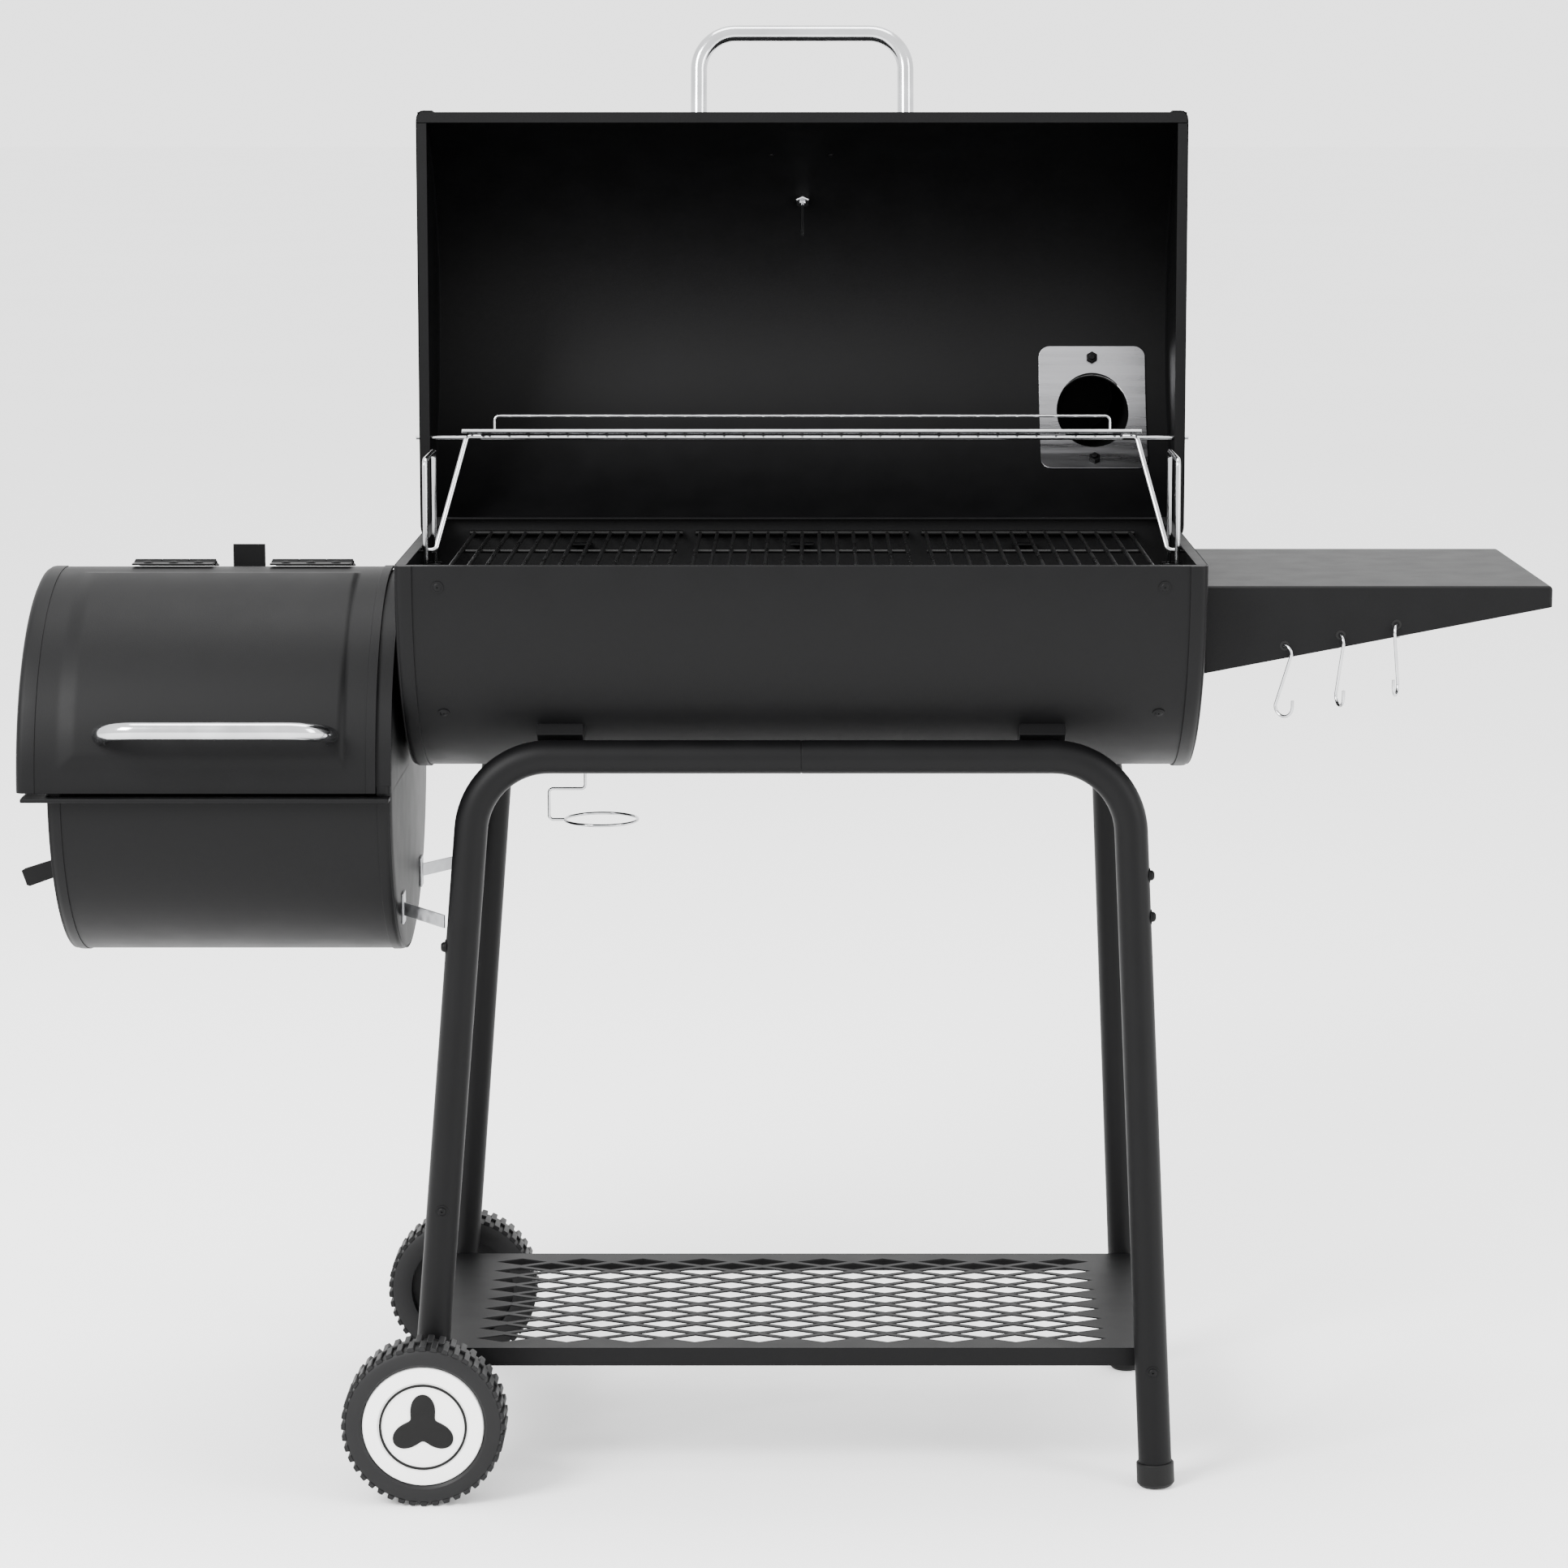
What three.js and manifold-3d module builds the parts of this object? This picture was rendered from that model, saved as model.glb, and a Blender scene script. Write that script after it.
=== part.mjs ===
// Offset smoker: a half-split steel barrel on a tube stand, with a firebox on its left end.
// Millimetres, +Z up. X runs along the barrel, -Y is the front, Z is the height above the ground.
// Everything is built about the barrel's middle and then moved, so that the origin is the middle
// of the bounding box at ground level.
import * as THREE from 'three';
import { mergeVertices } from 'three/addons/utils/BufferGeometryUtils.js';
import Module from 'manifold-3d';

const wasm = await Module();
wasm.setup();

// ---------------------------------------------------------------- driving dimensions
const SHEET = 1.4;
const GAP = 0.3;
const ARC_STEPS = 24;
const DEG = Math.PI / 180;

const BARREL_LENGTH = 762;
const BARREL_RADIUS = 222;
const BARREL_AXIS_Z = 900;
const CAP_BAND = 17;
const RIM_LIP = 11;
const SADDLE_X = BARREL_LENGTH / 2 - 151;
const SADDLE_HALF_LENGTH = 22;
const SADDLE_HALF_WIDTH = 14;
const LEDGE_HALF_LENGTH = 12;
const LEDGE_DEPTH = 16;
const LEDGE_SHEET = 2;

const LID_LENGTH = BARREL_LENGTH + 38;
const LID_SEAM = 1;
const HINGE_BEHIND = 5;
const HINGE_BELOW = 30;
const HINGE_X = BARREL_LENGTH / 2 - 131;
const HINGE_LEAF_WIDTH = 64;
const HINGE_SHEET = 2;
const HINGE_KNUCKLE = 4;
const FIXED_LEAF_LENGTH = 40;
const LID_LEAF_LENGTH = 76;

const HANDLE_HALF_WIDTH = 108;
const HANDLE_TUBE_RADIUS = 8.5;
const HANDLE_BEND = 38;
const LID_HANDLE_ANGLE = 168;
const LID_HANDLE_REACH = 86;

const CHIMNEY_X = LID_LENGTH / 2 - 84;
const CHIMNEY_ANGLE = 61;
const CHIMNEY_RADIUS = 40.5;
const CHIMNEY_HEIGHT = 250;
const CHIMNEY_WALL_GAP = 0.6;
const CHIMNEY_FLANGE_HALF = 56;
const CHIMNEY_FLANGE_SPREAD = 30;
const CAP_PIVOT_REACH = 7;
const CHIMNEY_PLATE_WIDTH = 116;
const CHIMNEY_PLATE_SPREAD = 39;
const CHIMNEY_CAP_RADIUS = 47;
const CHIMNEY_CAP_SHEET = 2;

const DIAL_ANGLE = 125;
const DIAL_RADIUS = 30;
const DIAL_DEPTH = 14;
const PROBE_LENGTH = 68;

const RACK_FENCE = 17;
const WIRE = 5;
const THIN_WIRE = 3;
const ROD_ABOVE_HINGE = 108;
const ROD_BEHIND_HINGE = 48;
const LEG_PIVOT_Z = BARREL_AXIS_Z - 10;
const LEG_PIVOT_X = BARREL_LENGTH / 2 - 20;
const LEG_TOP_X = LEG_PIVOT_X - 28;
const RACK_HALF_WIDTH = LEG_TOP_X + 4;
const RACK_ROD_COUNT = 33;
const RACK_ROD_PITCH = (RACK_HALF_WIDTH - 9) / ((RACK_ROD_COUNT - 1) / 2);

const GRATE_COUNT = 3;
const GRATE_Z = BARREL_AXIS_Z - 16;
const GRATE_HALF_LENGTH = BARREL_LENGTH / 2 - 30;
const GRATE_ROD = 4;
const GRATE_RODS = 13;
const GRATE_GAP = 22.8;
const GRATE_ROD_PITCH = ((2 * GRATE_HALF_LENGTH) / GRATE_COUNT - GRATE_GAP) / (GRATE_RODS - 1);

const TRAY_ABOVE_BOTTOM = 67;
const TRAY_Z = BARREL_AXIS_Z - BARREL_RADIUS + TRAY_ABOVE_BOTTOM;
const TRAY_CLEARANCE = 16.6;
const TRAY_HALF_LENGTH = BARREL_LENGTH / 2 - 31;
const TRAY_HALF_DEPTH =
  Math.sqrt((BARREL_RADIUS - 2 * SHEET - GAP) ** 2 - (BARREL_RADIUS - TRAY_ABOVE_BOTTOM) ** 2) - TRAY_CLEARANCE;
const TRAY_SLOT_COUNT = 11;
const TRAY_SLOT_PITCH = (TRAY_HALF_LENGTH - 50) / ((TRAY_SLOT_COUNT - 1) / 2);
const TRAY_SLOT_HALF_WIDTH = 8;
const TRAY_SLOT_HALF_LENGTH = 44;
const TRAY_SLOT_Y = 62;
const TRAY_RIM = 22;
const TRAY_HANDLE_X = BARREL_LENGTH / 2 - 15;
const TRAY_HANDLE_TOP = BARREL_AXIS_Z + 84;
const TRAY_GUIDE_Z = BARREL_AXIS_Z - 30;
const TRAY_HANDLE_HALF = 50;

const FIREBOX_AXIS_Z = BARREL_AXIS_Z - BARREL_RADIUS + 2;
const FIREBOX_RADIUS = 185;
const FIREBOX_LENGTH = 326;
const FIREBOX_LID_RADIUS = 193;
const FIREBOX_LID_OVERHANG = 29;
const FIREBOX_LID_RIGHT_GAP = 22;
const FIREBOX_HOOD_RADIUS = 190;
const FIREBOX_SPLIT_ANGLE = 85;
const FIREBOX_PIN_ANGLE = 83;
const FIREBOX_KNUCKLE = 3.2;
const FIREBOX_HINGE_WIDTH = 80;
const FIREBOX_LEAF_LENGTH = 26;
const FIREBOX_LEAF_SHEET = 1.6;
const FIREBOX_HINGE_SPACING = 68;
const FIREBOX_SPACER = 9;
const FIREBOX_FLANGE = 4;
const FIREBOX_FLANGE_REACH = 15;
const FIREBOX_HANDLE_ANGLE = 164;
const FIREBOX_HANDLE_REACH = 45;
const DUCT_RADIUS = 70;
const DUCT_Z = FIREBOX_AXIS_Z + 90;
const DAMPER_Z = FIREBOX_AXIS_Z - 90;
const DAMPER_RADIUS = 62;
const DAMPER_HOLE = 14;
const DAMPER_HOLE_CIRCLE = 38;
const DAMPER_TAB_REACH = 48;
const FIRE_GRATE_DROP = 80;
const FIRE_GRATE_RODS = 11;
const BRACE_DROP = 129;
const BRACE_Y = 100;

const TUBE_RADIUS = 16;
const TUBE_WALL = 1.5;
const BEAM_Y = 160;
const SADDLE_HEIGHT = 10.4;
const BEAM_Z = BARREL_AXIS_Z
  - Math.sqrt((BARREL_RADIUS + TUBE_RADIUS + SADDLE_HEIGHT) ** 2 - BEAM_Y ** 2);
const FOOT_Y = 187;
const LEG_BEND = 75;
const LEFT_CORNER_X = BARREL_LENGTH / 2 - 71;
const LEFT_FOOT_X = LEFT_CORNER_X + 52;
const LEFT_FOOT_Z = 55;
const RIGHT_CORNER_X = BARREL_LENGTH / 2 - 69;
const RIGHT_FOOT_X = RIGHT_CORNER_X + 31;
const RIGHT_FOOT_LIFT = 6;
const FOOT_CAP_HEIGHT = 24;

const WHEEL_RADIUS = 78.5;
const WHEEL_WIDTH = 45;
const HUBCAP_RADIUS = 58;
const AXLE_RADIUS = 5;

const SHELF_TOP_Z = 130;
const SHELF_LEFT = -LEFT_FOOT_X - 3;
const SHELF_RIGHT = RIGHT_FOOT_X + 2;
const SHELF_HALF_DEPTH = 164;
const SHELF_FLANGE = 18;
const DIAMOND_COLUMNS = 10;
const DIAMOND_PITCH_X = (SHELF_RIGHT - SHELF_LEFT - 84) / DIAMOND_COLUMNS;
const DIAMOND_PITCH_Y = 33.2;
const DIAMOND_WIDTH = DIAMOND_PITCH_X - 10.6;
const DIAMOND_DEPTH = 24;
const DIAMOND_HALF_ROWS = 17;

const TABLE_TOP_Z = BARREL_AXIS_Z - 26;
const TABLE_LENGTH = 332;
const TABLE_HALF_DEPTH = 161;
const TABLE_ROOT_HEIGHT = 84;
const TABLE_TIP_HEIGHT = 20;

const HOOK_OFFSETS = [78, 131, 184];
const HOOK_YAWS = [48, 14, -20];
const HOOK_WIRE_RADIUS = 1.5;
const HOOK_HEIGHT = 68;
const HOOK_TOP_LOOP = 8;
const HOOK_BOTTOM_LOOP = 10;
const HOOK_EDGE = 12;
const HOOK_HOLE = 4;

const DRIP_X = -215;
const DRIP_RING_RADIUS = 36;
const DRIP_UPPER_DROP = 26;
const DRIP_LOWER_DROP = 57;

// ---------------------------------------------------------------- colours and finishes
const finish = (color, roughness, metalness) =>
  new THREE.MeshStandardMaterial({ color, roughness, metalness });
const BLACK_PAINT = finish(0x1b1b1c, 0.5, 0.3);
const CHROME = finish(0xd8d8da, 0.15, 1);
const BRIGHT_STEEL = finish(0x9a9b9d, 0.3, 1);
const GALVANISED = finish(0xb4b6b8, 0.4, 0.9);
const BLACK_ENAMEL = finish(0x101011, 0.3, 0.1);
const TYRE_BLACK = finish(0x1c1c1d, 0.8, 0);
const HUB_WHITE = finish(0xf0f0ee, 0.4, 0);
const GLASS = finish(0xdfe6ea, 0.05, 0);
const DIAL_RED = finish(0xb02018, 0.5, 0);

// ---------------------------------------------------------------- small geometry helpers
// A closed three.js geometry as a solid that can be joined and cut.
function solid(geometry) {
  const bare = geometry.clone();
  bare.deleteAttribute('normal');
  bare.deleteAttribute('uv');
  const merged = mergeVertices(bare, 1e-4);
  const vertProperties = new Float32Array(merged.attributes.position.array);
  const triVerts = new Uint32Array(merged.index.array);
  return new wasm.Manifold(new wasm.Mesh({ numProp: 3, vertProperties, triVerts }));
}

const join = (solids) => solids.reduce((sum, next) => sum.add(next));

// A solid as a named, placed mesh with flat faces.
function node(name, body, material) {
  const mesh = body.getMesh();
  const geometry = new THREE.BufferGeometry();
  geometry.setAttribute('position', new THREE.BufferAttribute(new Float32Array(mesh.vertProperties), 3));
  geometry.setIndex(new THREE.BufferAttribute(new Uint32Array(mesh.triVerts), 1));
  const flat = geometry.toNonIndexed();
  flat.computeVertexNormals();
  const result = new THREE.Mesh(flat, material);
  result.name = name;
  return result;
}

// A block given by its lowest and highest corners.
function block(x0, x1, y0, y1, z0, z1) {
  const geometry = new THREE.BoxGeometry(x1 - x0, y1 - y0, z1 - z0);
  geometry.translate((x0 + x1) / 2, (y0 + y1) / 2, (z0 + z1) / 2);
  return solid(geometry);
}

// A round bar between two points.
function bar(from, to, radius, sides = 8) {
  const along = new THREE.Vector3().subVectors(to, from);
  const geometry = new THREE.CylinderGeometry(radius, radius, along.length(), sides);
  const turn = new THREE.Quaternion().setFromUnitVectors(
    new THREE.Vector3(0, 1, 0), along.clone().normalize());
  geometry.applyQuaternion(turn);
  const middle = new THREE.Vector3().addVectors(from, to).multiplyScalar(0.5);
  geometry.translate(middle.x, middle.y, middle.z);
  return solid(geometry);
}

const at = (x, y, z) => new THREE.Vector3(x, y, z);

// Points of an arc in the Y-Z plane; 0 degrees is the back (+Y), 90 is up, 180 is the front.
function arc(radius, fromDegrees, toDegrees, steps = ARC_STEPS, y = 0, z = 0) {
  return Array.from({ length: steps + 1 }, (_, i) => {
    const angle = (fromDegrees + ((toDegrees - fromDegrees) * i) / steps) * DEG;
    return new THREE.Vector2(y + radius * Math.cos(angle), z + radius * Math.sin(angle));
  });
}

// A section drawn in Y and Z, drawn out from x0 to x1.
function prismX(points, x0, x1) {
  const geometry = new THREE.ExtrudeGeometry(new THREE.Shape(points), {
    depth: x1 - x0, bevelEnabled: false, steps: 1 });
  geometry.applyMatrix4(new THREE.Matrix4().makeBasis(at(0, 1, 0), at(0, 0, 1), at(1, 0, 0)));
  geometry.translate(x0, 0, 0);
  return solid(geometry);
}

// A section drawn in X and Z, drawn out from y0 to y1.
function prismY(points, y0, y1) {
  const geometry = new THREE.ExtrudeGeometry(new THREE.Shape(points), {
    depth: y1 - y0, bevelEnabled: false, steps: 1 });
  geometry.applyMatrix4(new THREE.Matrix4().makeBasis(at(1, 0, 0), at(0, 0, 1), at(0, -1, 0)));
  geometry.translate(0, y1, 0);
  return solid(geometry);
}

// A strip of curved sheet about the X axis line at height z, between two angles.
function curvedSheet(outer, thickness, fromDegrees, toDegrees, x0, x1, z, steps = ARC_STEPS) {
  const points = [
    ...arc(outer, fromDegrees, toDegrees, steps, 0, z),
    ...arc(outer - thickness, toDegrees, fromDegrees, steps, 0, z),
  ];
  return prismX(points, x0, x1);
}

// A path whose rings lie exactly on its own points, with mitred turns.
class BentPath extends THREE.Curve {
  constructor(points) {
    super();
    this.points = points;
  }

  getPoint(t, target = new THREE.Vector3()) {
    const place = t * (this.points.length - 1);
    const before = Math.min(Math.floor(place + 1e-9), this.points.length - 2);
    return target.lerpVectors(this.points[before], this.points[before + 1], place - before);
  }

  getPointAt(u, target) {
    return this.getPoint(u, target);
  }

  getTangentAt(u, target = new THREE.Vector3()) {
    const last = this.points.length - 1;
    const i = Math.round(u * last);
    const from = this.points[Math.max(i - 1, 0)];
    const to = this.points[Math.min(i + 1, last)];
    const here = this.points[i];
    const into = new THREE.Vector3().subVectors(here, from).normalize();
    const out = new THREE.Vector3().subVectors(to, here).normalize();
    return target.addVectors(into, out).normalize();
  }
}

// The corner points with every inner corner rounded to one bend radius.
function roundedRoute(corners, bend, bendSteps) {
  const route = [corners[0]];
  for (let i = 1; i < corners.length - 1; i += 1) {
    const into = new THREE.Vector3().subVectors(corners[i], corners[i - 1]).normalize();
    const out = new THREE.Vector3().subVectors(corners[i + 1], corners[i]).normalize();
    const turn = into.angleTo(out);
    const start = corners[i].clone().addScaledVector(into, -bend * Math.tan(turn / 2));
    const side = out.clone().addScaledVector(into, -out.dot(into)).normalize();
    for (let k = 0; k <= bendSteps; k += 1) {
      const angle = (turn * k) / bendSteps;
      route.push(start.clone()
        .addScaledVector(side, bend * (1 - Math.cos(angle)))
        .addScaledVector(into, bend * Math.sin(angle)));
    }
  }
  route.push(corners[corners.length - 1]);
  return route;
}

// A round tube or wire along a list of points.
function sweep(route, radius, sides) {
  const section = Array.from({ length: sides }, (_, i) => {
    const angle = (2 * Math.PI * (i + 0.5)) / sides;
    return new THREE.Vector2(radius * Math.cos(angle), radius * Math.sin(angle));
  });
  return solid(new THREE.ExtrudeGeometry(new THREE.Shape(section), {
    steps: route.length - 1, extrudePath: new BentPath(route), bevelEnabled: false }));
}

const bentTube = (corners, bend, radius, sides = 8, bendSteps = 5) =>
  sweep(roundedRoute(corners, bend, bendSteps), radius, sides);

// A body of revolution about the Y axis, given as [radius, distance along Y] pairs.
function turned(pairs, steps) {
  return solid(new THREE.LatheGeometry(pairs.map(([r, y]) => new THREE.Vector2(r, y)), steps));
}

// The +Y axis of a turned body turned onto a direction and moved to a place.
function aimed(body, direction, place) {
  const turn = new THREE.Quaternion().setFromUnitVectors(at(0, 1, 0), direction);
  const matrix = new THREE.Matrix4().compose(place, turn, at(1, 1, 1));
  return body.transform(matrix.toArray());
}

// The outward direction on a drum about X at an angle in degrees.
const outward = (degrees) => at(0, Math.cos(degrees * DEG), Math.sin(degrees * DEG));

// ---------------------------------------------------------------- derived places
const BARREL_END = BARREL_LENGTH / 2;
const LID_END = LID_LENGTH / 2;
const LID_AXIS_Z = BARREL_AXIS_Z + LID_SEAM;
const SHELL_RADIUS = BARREL_RADIUS - SHEET - GAP;
const HINGE_Y = BARREL_RADIUS + HINGE_BEHIND;
const HINGE_Z = BARREL_AXIS_Z - HINGE_BELOW;
const LEG_RUN = [-HINGE_Y, LEG_PIVOT_Z - HINGE_Z];
const FIREBOX_RIGHT = -(BARREL_END + FIREBOX_SPACER);
const FIREBOX_LEFT = FIREBOX_RIGHT - FIREBOX_LENGTH;
const FIREBOX_LID_RIGHT = -(BARREL_END + FIREBOX_LID_RIGHT_GAP);
const FIREBOX_LID_LEFT = FIREBOX_LEFT - FIREBOX_LID_OVERHANG;
const FIREBOX_MIDDLE = (FIREBOX_LEFT + FIREBOX_RIGHT) / 2;
const FIREBOX_RIM_Z = FIREBOX_AXIS_Z - FIREBOX_FLANGE;
const TABLE_X = BARREL_END + GAP;

// A point on the slanted centre line of a stand leg at a height.
function onLeg(cornerX, footX, footZ, z) {
  const share = (BEAM_Z - z) / (BEAM_Z - footZ);
  return { x: cornerX + (footX - cornerX) * share, y: BEAM_Y + (FOOT_Y - BEAM_Y) * share };
}
const AXLE = onLeg(-LEFT_CORNER_X, -LEFT_FOOT_X, LEFT_FOOT_Z, WHEEL_RADIUS);

// ---------------------------------------------------------------- main barrel
// A half drum shell with lips folded in along both long edges, open side up at z.
function lippedHalfShell(outer, x0, x1, z) {
  const inner = outer - SHEET;
  const lipEnd = outer - RIM_LIP;
  const lipAngle = Math.asin(SHEET / inner) / DEG;
  const points = [
    ...arc(outer, 180, 360, ARC_STEPS, 0, z),
    new THREE.Vector2(lipEnd, z),
    new THREE.Vector2(lipEnd, z - SHEET),
    ...arc(inner, 360 - lipAngle, 180 + lipAngle, ARC_STEPS, 0, z),
    new THREE.Vector2(-lipEnd, z - SHEET),
    new THREE.Vector2(-lipEnd, z),
  ];
  return prismX(points, x0, x1);
}

// A stamped half-round end with a band over the shell and a folded top edge.
function drumEnd(side, endX, z) {
  const face = side * endX;
  const inner = face - side * SHEET;
  const band = face - side * CAP_BAND;
  const span = (a, b) => [Math.min(a, b), Math.max(a, b)];
  const half = arc(BARREL_RADIUS, 180, 360, ARC_STEPS, 0, z);
  const plate = prismX(half, ...span(face, inner));
  const strip = curvedSheet(BARREL_RADIUS, SHEET, 180, 360, ...span(face, band), z);
  const foldY = SHELL_RADIUS - RIM_LIP - 2 * GAP;
  const [fold0, fold1] = span(face, face - side * RIM_LIP);
  return join([plate, strip, block(fold0, fold1, -foldY, foldY, z - SHEET, z)]);
}

function barrelBowl() {
  const ledgeZ = GRATE_Z - 10;
  const shellX = BARREL_END - SHEET - GAP;
  const shell = lippedHalfShell(SHELL_RADIUS, -shellX, shellX, BARREL_AXIS_Z);
  const parts = [shell];
  const reach = Math.hypot(BEAM_Y, BARREL_AXIS_Z - BEAM_Z);
  const tilt = Math.atan2(BARREL_AXIS_Z - BEAM_Z, BEAM_Y);
  for (const x of [-SADDLE_X, SADDLE_X]) {
    for (const side of [-1, 1]) {
      const from = SHELL_RADIUS - SHEET;
      const to = reach - TUBE_RADIUS - GAP;
      const saddle = block(-SADDLE_HALF_LENGTH, SADDLE_HALF_LENGTH,
        -SADDLE_HALF_WIDTH, SADDLE_HALF_WIDTH, -to, -from)
        .rotate([side * (90 - tilt / DEG), 0, 0])
        .translate([x, 0, BARREL_AXIS_Z]);
      parts.push(saddle);
    }
  }
  const ledgeY = Math.sqrt((SHELL_RADIUS - SHEET) ** 2 - (BARREL_AXIS_Z - ledgeZ) ** 2);
  for (const x of [-SADDLE_X, 0, SADDLE_X]) {
    const x0 = x - LEDGE_HALF_LENGTH;
    const x1 = x + LEDGE_HALF_LENGTH;
    parts.push(block(x0, x1, -ledgeY - 0.8, -ledgeY + LEDGE_DEPTH, ledgeZ - LEDGE_SHEET, ledgeZ));
    parts.push(block(x0, x1, ledgeY - LEDGE_DEPTH, ledgeY + 0.8, ledgeZ - LEDGE_SHEET, ledgeZ));
  }
  const drain = bar(at(DRIP_X, 0, BARREL_AXIS_Z - BARREL_RADIUS - 10),
    at(DRIP_X, 0, BARREL_AXIS_Z - BARREL_RADIUS + 10), THIN_WIRE, 12);
  return join(parts).subtract(drain);
}

function ductHole() {
  return bar(at(-BARREL_END - 60, 0, DUCT_Z), at(-BARREL_END + 60, 0, DUCT_Z), DUCT_RADIUS, 32);
}

// Slots that the tray handles slide through, and the pin holes of the warming rack legs.
function barrelEnd(side) {
  const end = drumEnd(side, BARREL_END, BARREL_AXIS_Z);
  const parts = [end];
  const inner = side * (BARREL_END - SHEET);
  for (const y of [-TRAY_HANDLE_HALF, TRAY_HANDLE_HALF]) {
    const x0 = side * (TRAY_HANDLE_X - 6);
    const guide = block(Math.min(x0, inner), Math.max(x0, inner), y - 12, y + 12,
      TRAY_GUIDE_Z - 2, TRAY_GUIDE_Z + 2);
    const slot = bar(at(side * TRAY_HANDLE_X, y, TRAY_GUIDE_Z - 10),
      at(side * TRAY_HANDLE_X, y, TRAY_GUIDE_Z + 10), WIRE / 2 + 1, 12);
    parts.push(guide.subtract(slot));
  }
  return side < 0 ? join(parts).subtract(ductHole()) : join(parts);
}

// ---------------------------------------------------------------- barrel lid, drawn closed
const CHIMNEY_Y = BARREL_RADIUS * Math.cos(CHIMNEY_ANGLE * DEG);
const CHIMNEY_BASE_Z = LID_AXIS_Z + BARREL_RADIUS * Math.sin(CHIMNEY_ANGLE * DEG);
const CHIMNEY_TOP_Z = CHIMNEY_BASE_Z + CHIMNEY_HEIGHT;
const ROD_CLOSED_Y = HINGE_Y - ROD_ABOVE_HINGE;
const ROD_CLOSED_Z = HINGE_Z + ROD_BEHIND_HINGE;

function chimneyBore(radius) {
  return bar(at(CHIMNEY_X, CHIMNEY_Y, CHIMNEY_BASE_Z - 160),
    at(CHIMNEY_X, CHIMNEY_Y, CHIMNEY_TOP_Z + 20), radius, 24);
}

function onLid(degrees, radius) {
  return outward(degrees).multiplyScalar(radius).add(at(0, 0, LID_AXIS_Z));
}

function lidShell() {
  const shellX = LID_END - SHEET - GAP;
  const shell = lippedHalfShell(SHELL_RADIUS, -shellX, shellX, 0)
    .rotate([180, 0, 0])
    .translate([0, 0, LID_AXIS_Z]);
  const dialBore = bar(onLid(DIAL_ANGLE, BARREL_RADIUS - 20), onLid(DIAL_ANGLE, BARREL_RADIUS + 20), 3.8, 12);
  return shell.subtract(chimneyBore(CHIMNEY_RADIUS + CHIMNEY_WALL_GAP)).subtract(dialBore);
}

function lidEnd(side) {
  const rodHole = bar(at(side * (LID_END - 20), ROD_CLOSED_Y, ROD_CLOSED_Z),
    at(side * (LID_END + 20), ROD_CLOSED_Y, ROD_CLOSED_Z), WIRE / 2 + 0.6, 12);
  return drumEnd(side, LID_END, 0)
    .rotate([180, 0, 0])
    .translate([0, 0, LID_AXIS_Z])
    .subtract(rodHole);
}

// A chrome U tube standing out from a drum at an angle.
function drumHandle(centreX, axisZ, radius, reach, degrees) {
  const direction = outward(degrees);
  const foot = (x) => direction.clone().multiplyScalar(radius + 1).add(at(x, 0, axisZ));
  const top = (x) => direction.clone().multiplyScalar(radius + reach).add(at(x, 0, axisZ));
  const left = centreX - HANDLE_HALF_WIDTH;
  const right = centreX + HANDLE_HALF_WIDTH;
  return bentTube([foot(left), top(left), top(right), foot(right)],
    HANDLE_BEND, HANDLE_TUBE_RADIUS, 12, 5);
}

function chimneyPipe() {
  const outer = bar(at(CHIMNEY_X, CHIMNEY_Y, LID_AXIS_Z + 100), at(CHIMNEY_X, CHIMNEY_Y, CHIMNEY_TOP_Z),
    CHIMNEY_RADIUS, 24);
  const flange = curvedSheet(BARREL_RADIUS + 1.7, SHEET,
    CHIMNEY_ANGLE - CHIMNEY_FLANGE_SPREAD / 2, CHIMNEY_ANGLE + CHIMNEY_FLANGE_SPREAD / 2,
    CHIMNEY_X - CHIMNEY_FLANGE_HALF, CHIMNEY_X + CHIMNEY_FLANGE_HALF, LID_AXIS_Z, 10);
  const earY = CHIMNEY_Y + CHIMNEY_RADIUS;
  const ear = block(CHIMNEY_X - 8, CHIMNEY_X + 8, earY - 1, earY + 14, CHIMNEY_TOP_Z - 3, CHIMNEY_TOP_Z);
  const pin = bar(at(CHIMNEY_X, earY + CAP_PIVOT_REACH, CHIMNEY_TOP_Z - 1),
    at(CHIMNEY_X, earY + CAP_PIVOT_REACH, CHIMNEY_TOP_Z + CHIMNEY_CAP_SHEET + 4), 3, 12);
  const drum = prismX(arc(BARREL_RADIUS + GAP, 0, 180, 60, 0, LID_AXIS_Z), 0, LID_END);
  return join([outer.subtract(drum), flange, ear, pin]).subtract(chimneyBore(CHIMNEY_RADIUS - SHEET));
}

function chimneyPlate() {
  const half = CHIMNEY_PLATE_WIDTH / 2;
  const plate = curvedSheet(SHELL_RADIUS - SHEET - 0.8, 1.2,
    CHIMNEY_ANGLE - CHIMNEY_PLATE_SPREAD / 2, CHIMNEY_ANGLE + CHIMNEY_PLATE_SPREAD / 2,
    CHIMNEY_X - half, CHIMNEY_X + half, LID_AXIS_Z, 12);
  return plate.subtract(chimneyBore(CHIMNEY_RADIUS - SHEET));
}

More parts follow.
